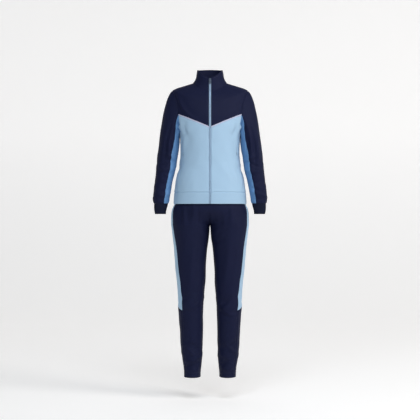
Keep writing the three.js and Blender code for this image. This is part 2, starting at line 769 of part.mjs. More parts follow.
/** Places of a sleeve panel between its front and back seams. */
function sleevePlaces(under) {
  const rows = SLEEVE_ROWS;
  const capRows = SLEEVE_CAP_ROWS;
  const gap = SEAM_GAP / 2 / GAP_RADIUS.sleeve;
  return (u, v) => {
    const row = (1 - v) * rows;
    const place = row <= capRows ? 1 - row / capRows : -(row - capRows) / (rows - capRows);
    const front = sleeveSeamAngle(place, false);
    const back = sleeveSeamAngle(place, true);
    const [from, to] = under ? [back, front + 2 * Math.PI] : [front, back];
    return [from + gap + (to - from - 2 * gap) * u, place];
  };
}

/**
 * A sleeve with its cuff. The blue under panel is one piece of cloth, and its solid is in two, above and
 * below the elbow.
 */
function makeSleeve(side) {
  const surface = sleeveAt(side);
  const options = { levelStep: SLEEVE_PLACE_STEP };
  const upper = panel(surface, 11, SLEEVE_ROWS, sleevePlaces(false), options);
  sidedPiece("sleeve_upper", side, upper, "navy");
  const elbow = SLEEVE_LOWER_ROWS / SLEEVE_ROWS;
  const armRows = SLEEVE_ROWS - SLEEVE_CAP_ROWS;
  const armLength = SLEEVE_TOP_HEIGHT - SLEEVE_SEAM_HEIGHT;
  const gap = (SEAM_GAP / 2 / armLength) * (armRows / SLEEVE_ROWS);
  const places = sleevePlaces(true);
  const above = stretchOf(places, elbow + gap, 1);
  const aboveElbow = panel(surface, 7, SLEEVE_ROWS - SLEEVE_LOWER_ROWS, above, options);
  sidedPiece("sleeve_under", side, aboveElbow, "mid_blue");
  const below = stretchOf(places, 0, elbow - gap);
  const belowElbow = panel(surface, 7, SLEEVE_LOWER_ROWS, below, options);
  sidedPiece("sleeve_under_lower", side, belowElbow, "mid_blue");
  const tall = CUFF_TOP_HEIGHT - CUFF_BOTTOM_HEIGHT;
  const around = (u, v) => [2 * Math.PI * u, CUFF_BOTTOM_HEIGHT + tall * v];
  const cuff = panel(cuffAt, 20, 3, around, { thickness: DOUBLE_CLOTH, closed: true });
  sidedPiece("sleeve_cuff", side, cuff, "navy");
}

/** Angle from the leg's front or back to the side strip's seam, whose strip ends at a height. */
function stripAngle(height, end) {
  const bends = [TROUSER_HEM_HEIGHT, end, CROTCH_HEIGHT, LEG_SPLIT_HEIGHT, TROUSER_TOP_HEIGHT];
  const angles = Object.values(STRIP_ANGLE);
  let i = 0;
  while (i + 2 < bends.length && height > bends[i + 1]) i++;
  const part = (height - bends[i]) / (bends[i + 1] - bends[i]);
  return THREE.MathUtils.degToRad(angles[i] + (angles[i + 1] - angles[i]) * part);
}

/** Height of a row of the trousers: even up to the strip's end, then even up to the crotch, and so on. */
function trouserHeight(row, end) {
  const { lower, upper, split, top } = TROUSER_ROWS;
  if (row <= lower) return TROUSER_HEM_HEIGHT + (end - TROUSER_HEM_HEIGHT) * (row / lower);
  if (row <= lower + upper) return end + (CROTCH_HEIGHT - end) * ((row - lower) / upper);
  const above = row - lower - upper;
  if (above <= split) {
    const up = 1 - Math.cos((above / split) * (Math.PI / 2));
    return CROTCH_HEIGHT + (LEG_SPLIT_HEIGHT - CROTCH_HEIGHT) * up;
  }
  const up = (above - split) / top;
  return LEG_SPLIT_HEIGHT + (TROUSER_TOP_HEIGHT - SEAM_GAP - LEG_SPLIT_HEIGHT) * up;
}

/** Places of a trouser front or back, from the middle seam and inseam to the side panel. */
function trouserPlaces(side, back, rows) {
  const gap = SEAM_GAP / 2 / GAP_RADIUS.leg;
  const end = back ? STRIP_BACK_END_HEIGHT : STRIP_FRONT_END_HEIGHT;
  return (u, v) => {
    const height = trouserHeight(v * rows, end);
    const strip = stripAngle(height, end) - gap;
    const inseamGap = height <= CROTCH_HEIGHT ? gap : 0;
    const seam = middleSeamAngle(side, height, back);
    if (back) return [Math.PI - strip + (seam - inseamGap - Math.PI + strip) * u, height];
    return [seam + inseamGap + (strip - seam - inseamGap) * u, height];
  };
}

/** Places of the side strip, or of the navy panel below its slanted end. */
function sidePlaces(lower, rows) {
  const gap = SEAM_GAP / 2 / GAP_RADIUS.leg;
  return (u, v) => {
    const end = STRIP_FRONT_END_HEIGHT + (STRIP_BACK_END_HEIGHT - STRIP_FRONT_END_HEIGHT) * u;
    const even = trouserHeight(lower ? v * rows : TROUSER_ROWS.lower + v * rows, end);
    const atEnd = lower ? v === 1 : v === 0;
    const height = atEnd ? even + (lower ? -SEAM_GAP : SEAM_GAP) : even;
    const front = stripAngle(height, STRIP_FRONT_END_HEIGHT) + gap;
    const back = Math.PI - stripAngle(height, STRIP_BACK_END_HEIGHT) - gap;
    return [front + (back - front) * u, height];
  };
}

/** One trouser leg with its half of the seat. */
function makeTrouserLeg(side) {
  const surface = trousersAt(side);
  const { lower, upper, split, top } = TROUSER_ROWS;
  const above = upper + split + top;
  const front = panel(surface, 6, lower + above, trouserPlaces(side, false, lower + above));
  sidedPiece("trouser_front", side, front, "navy");
  const back = panel(surface, 6, lower + above, trouserPlaces(side, true, lower + above));
  sidedPiece("trouser_back", side, back, "navy");
  sidedPiece("trouser_side_strip", side, panel(surface, 3, above, sidePlaces(false, above)), "light_blue");
  sidedPiece("trouser_side_lower", side, panel(surface, 3, lower, sidePlaces(true, lower)), "navy");
}

/** The trousers' elastic waistband, under the jacket. */
function makeWaistband() {
  const bottom = TROUSER_TOP_HEIGHT + SEAM_GAP;
  const around = (u, v) => [2 * Math.PI * u, bottom + (WAISTBAND_TOP_HEIGHT - bottom) * v];
  const band = panel(waistbandAt, 36, 2, around, { thickness: DOUBLE_CLOTH, closed: true });
  piece("trouser_waistband", band, "navy");
}

/** The middle of the jacket's front, from the hem to the top of the collar, with its outward normal. */
function zipLine(bodyRows, collarRows) {
  const line = [];
  const addRows = (surface, bottom, top, rows) => {
    for (let row = 0; row <= rows; row++) {
      const level = bottom + (top - bottom) * (row / rows);
      line.push({ point: surface(0, level), normal: normalOf(surface, 0, level, LEVEL_STEP) });
    }
  };
  addRows(bodyMiddle, HEM_HEIGHT, NECK_HEIGHT, bodyRows);
  addRows(collarAt, NECK_HEIGHT + COLLAR_FOOT_RISE, COLLAR_TOP_HEIGHT, collarRows);
  return line;
}

/** The body's surface near its middle, without the folds of either side. */
function bodyMiddle(angle, level) {
  return ringPoint(BODY(level), level, angle);
}

/** A strip along the zip between two distances from the middle plane. */
function zipStrip(line, left, right, rise, thickness) {
  const outer = [];
  const inner = [];
  for (const { point, normal } of line) {
    for (const x of [left, right]) {
      outer.push(point.clone().addScaledVector(normal, rise).setX(x));
      inner.push(point.clone().addScaledVector(normal, rise - thickness).setX(x));
    }
  }
  return wallBetween(outer, inner, 1, line.length - 1, false);
}

/** A closed mesh as a solid that can be joined and cut. */
function solidOf(geometry) {
  const bare = geometry.clone();
  bare.deleteAttribute("normal");
  bare.deleteAttribute("uv");
  const merged = mergeVertices(bare);
  const vertProperties = new Float32Array(merged.attributes.position.array);
  const triVerts = new Uint32Array(merged.index.array);
  return new wasm.Manifold(new wasm.Mesh({ numProp: 3, vertProperties, triVerts }));
}

/** A solid as a geometry. */
function geometryOf(solid) {
  const mesh = solid.getMesh();
  const geometry = new THREE.BufferGeometry();
  geometry.setAttribute("position", new THREE.BufferAttribute(new Float32Array(mesh.vertProperties), 3));
  geometry.setIndex([...mesh.triVerts]);
  return geometry;
}

/** A box between two corners. */
function boxBetween(low, high) {
  const size = high.map((value, axis) => value - low[axis]);
  const box = new THREE.BoxGeometry(...size);
  box.translate(low[0] + size[0] / 2, low[1] + size[1] / 2, low[2] + size[2] / 2);
  return box;
}

/** A rounded plate in the XZ plane, from its lower to its upper height. */
function roundedPlate(width, bottom, top, front, thickness, corner) {
  const half = width / 2;
  const shape = new THREE.Shape();
  shape.moveTo(-half + corner, bottom);
  shape.lineTo(half - corner, bottom);
  shape.absarc(half - corner, bottom + corner, corner, -Math.PI / 2, 0);
  shape.absarc(half - corner, top - corner, corner, 0, Math.PI / 2);
  shape.absarc(-half + corner, top - corner, corner, Math.PI / 2, Math.PI);
  shape.absarc(-half + corner, bottom + corner, corner, Math.PI, 1.5 * Math.PI);
  const plate = new THREE.ExtrudeGeometry(shape, { depth: thickness, bevelEnabled: false, curveSegments: 4 });
  plate.rotateX(Math.PI / 2);
  plate.translate(0, front + thickness, 0);
  return plate;
}

/** The zip: two tapes, the closed row of teeth, the slider near the collar's top and its pull tab. */
function makeZip() {
  const line = zipLine(21, 4);
  const tapeEdge = ZIP_TEETH_HALF_WIDTH + SEAM_GAP;
  const tape = zipStrip(line, tapeEdge, ZIP_HALF_WIDTH, -ZIP_RECESS, ZIP_TAPE);
  sidedPiece("zip_tape", 1, tape, "zip");
  sidedPiece("zip_tape", -1, tape.clone(), "zip");
  const teeth = zipStrip(line, -ZIP_TEETH_HALF_WIDTH, ZIP_TEETH_HALF_WIDTH, ZIP_TEETH_RISE, ZIP_TEETH);
  piece("zip_teeth", teeth, "zip");

  const face = collarAt(0, COLLAR_TOP_HEIGHT).y - ZIP_TEETH_RISE - SEAM_GAP;
  const middle = SLIDER.middleHeight;
  const front = face - SLIDER.depth;
  const half = SLIDER.height / 2;
  const body = roundedPlate(SLIDER.width, middle - half, middle + half, front, SLIDER.depth, SLIDER.corner);
  const bridgeHalf = BRIDGE.length / 2;
  const bridgeFront = front - BRIDGE.reach;
  const arch = boxBetween(
    [-BRIDGE.width / 2, bridgeFront, middle - bridgeHalf],
    [BRIDGE.width / 2, front + SLIDER.rootInside, middle + bridgeHalf],
  );
  const hole = boxBetween(
    [-BRIDGE.width, bridgeFront + BRIDGE.wall, middle - bridgeHalf + BRIDGE.wall],
    [BRIDGE.width, front, middle + bridgeHalf - BRIDGE.wall],
  );
  const slider = solidOf(body).add(solidOf(arch).subtract(solidOf(hole)));
  piece("zip_slider", geometryOf(slider), "metal", { roughness: 0.35, metalness: 0.9 });

  const axis = front - (BRIDGE.reach - BRIDGE.wall) / 2;
  const top = middle + TAB.bar / 2;
  const tabFront = axis - TAB.thickness / 2;
  const plate = roundedPlate(TAB.width, top - TAB.length, top, tabFront, TAB.thickness, TAB.corner);
  const opening = boxBetween(
    [-TAB.window / 2, axis - TAB.thickness, top - TAB.bar - TAB.windowLength],
    [TAB.window / 2, axis + TAB.thickness, top - TAB.bar],
  );
  const tab = solidOf(plate).subtract(solidOf(opening));
  piece("zip_pull_tab", geometryOf(tab), "metal", { roughness: 0.35, metalness: 0.9 });
}

for (const side of [1, -1]) {
  makeFronts(side);
  makeSleeve(side);
  makeTrouserLeg(side);
}
makeBack();
makeBands();
makeWaistband();
makeZip();

export default suit;
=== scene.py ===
"""The looks of a zip-front tracksuit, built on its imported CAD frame.

Shapes are worked out in millimetres with heights above the floor, and to_frame turns them into the
frame's metres, whose origin is on the middle line, level with the base of the neck. The front faces
-Y and the suit's own left side is +X. Each cloth panel is a function of two parameters, an angle round
its tube and a level along it, laid out on a grid that is close at the seams, and given a wall.
"""

import math

import bmesh
import bpy
import numpy as np
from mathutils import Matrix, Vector


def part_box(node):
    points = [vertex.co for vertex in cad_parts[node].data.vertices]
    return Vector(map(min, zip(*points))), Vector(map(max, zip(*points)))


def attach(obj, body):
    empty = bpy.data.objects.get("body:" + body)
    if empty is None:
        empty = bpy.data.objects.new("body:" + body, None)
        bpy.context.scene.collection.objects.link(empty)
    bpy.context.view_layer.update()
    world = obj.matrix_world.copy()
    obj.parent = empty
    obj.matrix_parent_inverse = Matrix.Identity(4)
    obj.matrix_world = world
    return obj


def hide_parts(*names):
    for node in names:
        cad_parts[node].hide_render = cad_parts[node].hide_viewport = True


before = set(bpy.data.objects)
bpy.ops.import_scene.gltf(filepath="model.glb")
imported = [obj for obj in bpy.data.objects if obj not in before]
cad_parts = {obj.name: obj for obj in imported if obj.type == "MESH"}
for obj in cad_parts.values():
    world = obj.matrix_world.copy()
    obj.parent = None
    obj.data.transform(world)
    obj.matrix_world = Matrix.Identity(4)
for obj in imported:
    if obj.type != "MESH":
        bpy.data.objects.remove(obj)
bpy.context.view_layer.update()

# Frame and camera. Every length is in millimetres, but the camera's distance is in metres.
ORIGIN_HEIGHT = 1440.0
MM = 0.001
CAMERA_DISTANCE = 5.0
CAMERA_HEIGHT = 880.0
LENS = 92.2
SENSOR = 36.0

# Thickness of single and of double cloth
CLOTH = 2.0
DOUBLE_CLOTH = 3.0

# Jacket. The heights from the hem to the collar's top are at the body's side. The front yoke's seam
# runs straight from its point at the zip to its end at the armhole.
HEM_HEIGHT = 908.0
HEM_SEAM_HEIGHT = 961.0
ARMPIT_HEIGHT = 1225.0
SHOULDER_TIP_HEIGHT = 1432.0
NECK_HEIGHT = 1467.0
COLLAR_TOP_HEIGHT = 1531.0
YOKE_POINT_HEIGHT = 1258.5
YOKE_END_HEIGHT = 1320.0
YOKE_END_X = 144.0
BACK_YOKE_HEIGHT = 1322.0
PIPING_WIDTH = 6.0
PIPING_HEIGHT = 0.9
ARMHOLE_FRONT_ANGLE = math.radians(32)
ARMHOLE_BACK_ANGLE = math.radians(33)

# Shares of a panel's rows that lie below the armpit on the front and the back, and below the
# shoulder's tip on the yokes
FRONT_ARMPIT_ROW = 0.78
BACK_ARMPIT_ROW = 0.72
FRONT_YOKE_TIP_ROW = 0.55
BACK_YOKE_TIP_ROW = 0.6

# Collar. Its foot lies a little under the neckline, and the zip's line runs on above that foot.
COLLAR_TUCK = 1.0
COLLAR_FOOT_RISE = 5.0
COLLAR_NOTCH_HALF_WIDTH = 9.0
COLLAR_NOTCH_DEPTH = 10.0

# Sleeves. The seam's angle is measured inwards from the arm's front or back. On the way down it
# settles at the cap's angle, and near the biceps it eases to the arm's. Both are shares of the place.
SLEEVE_TOP_HEIGHT = 1190.0
SLEEVE_SEAM_HEIGHT = 910.4
SLEEVE_SEAM_CAP_ANGLE = math.radians(33)
SLEEVE_SEAM_ARM_ANGLE = math.radians(26.5)
SLEEVE_SEAM_SETTLES = 0.8
SLEEVE_SEAM_EASES = 0.25
SLEEVE_CAP_PART = 0.42
CUFF_TOP_HEIGHT = 912.5
CUFF_BOTTOM_HEIGHT = 861.0
CUFF_RIBS = 62
CUFF_RIB_POINTS = 6

# Zip, by distance from the middle line and rise over the zip's own line
ZIP_HALF_WIDTH = 4.9
ZIP_TOP_HEIGHT = 1485.0
ZIP_STEP = 3.0
TAPE_ACROSS = np.array([1.7, 2.6, 3.6, 4.8, 4.7, 4.9])
TAPE_RISE = np.array([-0.45, -0.35, -0.42, -0.5, -0.55, -0.7])
TAPE_THICKNESS = 0.9
TOOTH_PITCH = 2.4
TOOTH_SHIFT = 0.75
TOOTH_RISE = -0.25
TOOTH_HALF_SIZES = (1.9, 0.62, 0.75)

# Slider and its bridge. Corners are the powers of the outlines' superellipses.
SLIDER_MIDDLE_HEIGHT = 1480.0
SLIDER_HALF_WIDTH = 4.5
SLIDER_HALF_HEIGHT = 5.5
SLIDER_DEPTH = 4.4
SLIDER_CORNERS = 3.2
SLIDER_BEVEL = 0.9
SLIDER_TAPER = 0.16
SLIDER_POINTS = 48
BRIDGE_REACH = 3.5
BRIDGE_SINK = 0.4
BRIDGE_HALF_HEIGHT = 3.3
BRIDGE_HALF_WIDTH = 1.0
BRIDGE_HALF_DEPTH = 0.5
BRIDGE_SQUARENESS = 0.7

# Pull tab. Its profile runs round the section: share of the way from the window to the outline, and
# rise from the middle plane in half-thicknesses.
TAB_CORNERS = 5.0
TAB_TAPER = 0.1
TAB_RIM = 1.2
TAB_WINDOW_HALF_SIZES = (2.0, 2.2)
TAB_WINDOW_CORNERS = 3.0
TAB_POINTS = 64
TAB_PROFILE = [
    (0, 0.0), (0.02, -0.6), (0.06, -1.0), (0.16, -1.0), (0.22, -0.72),
    (0.7, -0.72), (0.8, -1.0), (0.93, -1.0), (0.985, -0.6), (1, 0.0),
    (0.985, 0.6), (0.93, 1.0), (0.5, 1.0), (0.06, 1.0), (0.02, 0.6),
]

# Trousers. The strip's seams lie so many degrees from the leg's front or back at the hem, the strip's
# end, the crotch, the split and the top. The rows are shares of a panel's rows.
TROUSER_HEM_HEIGHT = 104.0
CROTCH_HEIGHT = 812.0
LEG_SPLIT_HEIGHT = 893.0
TROUSER_TOP_HEIGHT = 975.0
WAISTBAND_TOP_HEIGHT = 1015.0
STRIP_FRONT_END_HEIGHT = 417.0
STRIP_BACK_END_HEIGHT = 445.0
STRIP_DEGREES = [47, 43, 64.5, 65, 62]
CROTCH_ROW = 0.76
SPLIT_ROW = 0.9
PELVIS_FULLNESS = 2.2
WAISTBAND_COLUMNS = 420
WAISTBAND_RADIUS = 60.0
WAISTBAND_CHANNELS = 3
WAISTBAND_PLEATS = 70

# How often a search by halving is repeated
HALVINGS = 26

# Grid of the cloth: its spacing, and how far its lines near an edge lie from that edge
SPACING = 4.0
CLOSE_TO_EDGE = np.array([0, 0.15, 0.45, 0.9, 1.5, 2.4, 3.6, 5.2])

# Stitching. A row's distance is from the seam or edge that it follows.
STITCH_LENGTH = 2.6
STITCH_GAP = 0.9
THREAD = 0.32
STITCH_SINK = 0.35
ZIP_ROW = 13.0
ZIP_ROW_LIGHT_TOP = 1232.0
ZIP_ROW_NAVY_FOOT = 1246.0
ROW_CLEARANCE = 2.0
YOKE_ROW = 3.2
PIPING_ROW = 3.6
HEM_SEAM_ROW = 4.5
COLLAR_FOOT_ROW = 5.5
COLLAR_TOP_ROW = 6.0
COLLAR_ROW_START = 0.16
TROUSER_HEM_ROWS = (20.0, 24.0)

# Bar tacks at the sides of the front
TACK_ANGLE = math.radians(64.5)
TACK_HEIGHT = 1138.0
TACK_LENGTH = 13.0
TACK_WIDTH = 4.2
TACK_BARS = 20
TACK_RISE = 0.25
TACK_BAR_HALF_HEIGHT = 0.42
TACK_BAR_HALF_DEPTH = 0.5

# Stage in metres: a floor that bends up into a wall
STAGE_AHEAD = -9.0
STAGE_BEHIND = 3.2
STAGE_BEND = 1.6
STAGE_HALF_WIDTH = 9.0
STAGE_TOP = 8.0

# Lamps in metres: name, place, aim, size, watts and colour
LAMPS = [
    ("key", (4.5, -2.6, 1.9), (0, 0, -0.3), (2.2, 2.6), 150, (1.0, 0.97, 0.935)),
    ("front", (-1.9, -4.8, 1.6), (0, 0, -0.2), (2.2, 2.2), 48, (0.82, 0.93, 1.0)),
    ("near_right", (0.75, -1.5, 0.75), (0.2, 0, -0.1), (0.5, 0.6), 5.0, (0.86, 0.92, 1.0)),
    ("top", (0.2, -2.1, 2.3), (0, 0, -0.1), (1.6, 1.2), 34, (0.94, 0.97, 1.0)),
    ("backdrop_left", (-3.2, 1.4, 1.8), (-2.0, 5.0, 0.0), (2.5, 3.5), 16, (1, 1, 1)),
    ("backdrop_right", (3.2, 1.4, 1.8), (2.0, 5.0, 0.0), (2.5, 3.5), 16, (1, 1, 1)),
]
WORLD_COLOUR = (0.9, 0.955, 1.0, 1)
WORLD_STRENGTH = 0.24


def curve_through(keys, values):
    """A smooth curve that never swings past its values: cubic pieces whose slope at each key is the
    harmonic mean of the slopes beside it, or level where those turn."""
    keys = np.asarray(keys, float)
    values = np.asarray(values, float)
    slopes = np.diff(values) / np.diff(keys)
    before, after = slopes[:-1], slopes[1:]
    same = before * after > 0
    total = np.where(same, before + after, 1.0)
    middle = np.where(same, 2 * before * after / total, 0.0)
    tangents = np.concatenate([slopes[:1], middle, slopes[-1:]])

    def value(key):
        at = np.clip(key, keys[0], keys[-1])
        i = np.clip(np.searchsorted(keys, at) - 1, 0, len(keys) - 2)
        width = keys[i + 1] - keys[i]
        t = (at - keys[i]) / width
        inside = (
            (2 * t**3 - 3 * t**2 + 1) * values[i]
            + (t**3 - 2 * t**2 + t) * width * tangents[i]
            + (3 * t**2 - 2 * t**3) * values[i + 1]
            + (t**3 - t**2) * width * tangents[i + 1]
        )
        return inside + (key - at) * np.where(key < at, tangents[0], tangents[-1])

    return value


def table_of(columns, rows):
    """Reads a short table with its key in the first column: a function from key to named values."""
    rows = np.array(rows, float)
    curves = [curve_through(rows[:, 0], rows[:, i + 1]) for i in range(len(columns) - 1)]
    return lambda key: {name: curve(key) for name, curve in zip(columns[1:], curves)}


# Jacket body. side: height at the body's side. front, back: height of the same ring at the middle of
# the front and back. half: half-width. The depths run from the side plane. full: how far the ring
# swells past an ellipse at its corners.
BODY_COLUMNS = ["side", "front", "back", "half", "front_depth", "back_depth", "full"]
BODY = table_of(BODY_COLUMNS, [
    [908, 908, 908, 169.5, 119, 122, 0.08],
    [933, 933, 933, 167.5, 120, 122, 0.08],
    [961, 961, 961, 165.5, 120, 120, 0.08],
    [989, 989, 989, 162, 117, 114, 0.08],
    [1017, 1017, 1017, 158, 113, 107, 0.08],
    [1045, 1045, 1045, 151.5, 108, 101, 0.08],
    [1072, 1072, 1072, 143.5, 104, 96, 0.08],
    [1100, 1100, 1100, 139, 102, 93, 0.08],
    [1128, 1128, 1128, 136.5, 103, 92, 0.08],
    [1156, 1156, 1156, 136, 106, 94, 0.08],
    [1190, 1190, 1190, 137.5, 110, 98, 0.07],
    [1225, 1223, 1224, 141, 115, 102, 0.06],
    [1275, 1259, 1268, 159, 119, 107, 0.04],
    [1328, 1299, 1315, 169, 117, 110, 0.02],
    [1380, 1336, 1361, 173, 109, 107, -0.01],
    [1432, 1375, 1406, 174.5, 97, 97, -0.07],
    [1444, 1391, 1422, 155, 89, 90, -0.07],
    [1453, 1404, 1437, 127, 81, 81, -0.06],
    [1463, 1419, 1454, 94, 68, 67, -0.03],
    [1467, 1426, 1462, 79, 62, 60, 0],
])
COLLAR = table_of(BODY_COLUMNS, [
    [1467.7, 1426.7, 1462.7, 78.6, 62, 60, 0],
    [1473, 1432, 1468, 75.5, 61, 56, 0],
    [1482, 1441, 1478, 70, 60, 52.5, 0.01],
    [1491, 1450, 1489, 65.8, 59.3, 50.5, 0.02],
    [1501, 1460, 1501, 63.8, 59, 49.5, 0.02],
    [1519, 1478, 1522, 61, 59, 49, 0.02],
    [1531, 1490, 1537, 57.8, 59, 48.5, 0.02],
])

# Sleeve, cuff and trouser leg. across: distance of the tube's middle from the body's middle. ahead:
# how far that middle stands behind the side plane. half, depth: the ellipse's half-axes.
TUBE_COLUMNS = ["height", "across", "ahead", "half", "depth"]
SLEEVE = table_of(TUBE_COLUMNS, [
    [909, 226.5, -25, 32.5, 33],
    [916, 226.6, -24.5, 35.2, 35.5],
    [924, 226.5, -24, 37.8, 38],
    [933, 226.2, -23, 38.3, 39],
    [961, 222.5, -20, 39.5, 41.5],
    [989, 218.5, -16, 41, 44],
    [1017, 214, -12, 42, 46.5],
    [1045, 208.8, -8, 43.8, 49],
    [1072, 204.2, -5, 46.2, 52],
    [1100, 200.5, -3, 46.5, 54],
    [1128, 198.2, -1.5, 47.3, 57],
    [1156, 193.6, -0.5, 48.4, 60],
    [1190, 189.4, 0, 48.5, 62],
])
CUFF = table_of(TUBE_COLUMNS, [
    [861, 229.4, -29, 25.4, 26],
    [868, 229.4, -28.6, 26, 27],
    [880, 229, -28, 28, 29],
    [896, 227.6, -26.6, 30.4, 31.5],
    [909.8, 226.5, -25.2, 31.4, 32.2],
])
LEG = table_of(TUBE_COLUMNS, [
    [104, 82.2, 14, 38.6, 50],
    [124, 82.2, 14, 38.8, 50.5],
    [152, 82.4, 14.5, 41.3, 52],
    [208, 83.8, 15, 48.2, 56],
    [263, 86.2, 14, 51.2, 60],
    [319, 87, 11, 53.5, 62.5],
    [375, 88.8, 8, 55.8, 64],
    [431, 89.7, 4, 58.3, 64.5],
    [487, 88, 1, 61, 66],
    [542, 87.8, 0, 65.2, 69],
    [598, 90.2, 0, 69.8, 74],
    [654, 90.8, 2, 73.2, 80],
    [710, 90, 4, 78.5, 87],
    [766, 90.2, 6, 85.8, 96],
    [802, 91, 6, 89, 101],
    [812, 90.6, 6, 90.3, 103],
    [880, 90.6, 6, 90.3, 104],
    [975, 90.6, 2, 90.3, 96],
])
PELVIS = table_of(["height", "half", "front_depth", "back_depth"], [
    [803, 180.8, 100, 116],
    [821, 181.4, 105, 121],
    [849, 181, 110, 124],
    [877, 178, 112.5, 123],
    [890, 174, 112.5, 121],
    [900, 168.4, 111, 117.5],
    [908, 164.8, 110, 115],
    [925, 160, 107, 111],
    [950, 148, 102, 103],
    [975, 131, 97, 92],
    [1015, 126, 93, 88],
])

# Creases. side: 1 the suit's own left, -1 its right. across: angle in degrees round
# the tube from its front. height: of the crease's middle. turn: slope of its run in degrees, upwards
# away from the front. run, spread: half-length and half-width. bend: how far its ends lie above its
# middle, across the run. push: height outwards, negative for a trough.
BODY_FOLDS = [
    (1, 50, 1265, -70, 45, 12, 0, -5),
    (1, 58, 1200, -80, 40, 13, 0, 4),
    (-1, 50, 1255, -70, 45, 12, 0, -5),
    (-1, 58, 1190, -78, 38, 13, 0, 4),
    (1, 18, 1087, -63, 90, 16, 6, 2.5),
    (-1, 45, 1368, 50, 62, 11, -5, 5.2),
    (1, 80, 1060, 12, 55, 13, 5, -1.6),
    (-1, 84, 1075, -8, 60, 14, 4, -1.6),
    (1, 150, 1120, 10, 80, 16, 8, -5.5),
    (-1, 155, 1085, -12, 80, 16, 7, -5.5),
    (1, 50, 1240, 64, 40, 12, 5, -2.2),
    (-1, 48, 1232, 60, 46, 13, 5, -2.8),
    (1, 61, 1284, 90, 15, 6, 0, -7),
    (1, 66, 1262, 8, 13, 5, 0, 3.0),
    (1, 70, 1230, 86, 28, 6.5, 0, -8),
    (1, 80, 1194, 12, 16, 6, 0, 3.4),
    (-1, 62, 1288, 88, 16, 6, 0, -7),
    (-1, 65, 1266, -6, 13, 5, 0, 3.2),
    (-1, 70, 1232, 88, 30, 6.5, 0, -8.5),
    (-1, 80, 1190, 8, 16, 6, 0, 3.4),
    (1, 66, 1168, 80, 40, 8, 0, -2.6),
    (-1, 68, 1160, 84, 42, 8, 0, -2.4),
    (-1, 30, 1345, 42, 50, 9, 6, -1.8),
    (1, 42, 1360, 55, 50, 10, -4, -1.6),
    (1, 30, 1335, 38, 40, 9, 5, 1.3),
    (-1, 20, 1120, -68, 80, 14, -5, 1.5),
    (-1, 36, 1050, -60, 60, 11, 5, -1.4),
    (1, 40, 1040, -70, 60, 11, 4, -1.6),
    (1, 30, 995, 78, 32, 10, 0, 1.4),
    (-1, 26, 990, 96, 30, 10, 0, 1.3),
    (1, 62, 1000, 66, 42, 10, 5, 2.0),
    (-1, 66, 1008, 70, 42, 10, 5, 1.8),
    (1, 74, 1102, 18, 40, 8, 6, 2.2),
    (-1, 78, 1112, -14, 40, 8, 6, 2.0),
    (1, 100, 1080, -18, 50, 10, 6, 2.4),
    (-1, 104, 1096, 14, 46, 10, 6, 2.2),
    (1, 118, 1042, -22, 60, 11, 7, -2.6),
    (-1, 122, 1056, -18, 60, 11, 7, -2.4),
    (1, 172, 1062, 4, 95, 12, 10, 2.6),
    (-1, 160, 1028, -6, 85, 11, 9, 2.2),
    (1, 166, 1150, 8, 70, 13, 8, 1.8),
    (1, 138, 1282, 76, 60, 12, 6, -2.6),
    (-1, 140, 1275, 74, 62, 12, 6, -2.4),
    (1, 126, 1240, 58, 46, 9, 5, 2.2),
    (-1, 128, 1232, 60, 46, 9, 5, 2.4),
    (1, 148, 1385, -18, 60, 13, -5, 2.8),
    (-1, 151, 1390, -16, 60, 13, -5, 2.8),
    (1, 176, 1200, 88, 70, 16, 3, -1.5),
    (1, 140, 985, 84, 30, 10, 0, 1.6),
    (-1, 146, 990, 96, 32, 10, 0, 1.6),
    (1, 165, 980, 92, 26, 9, 0, -1.3),
]
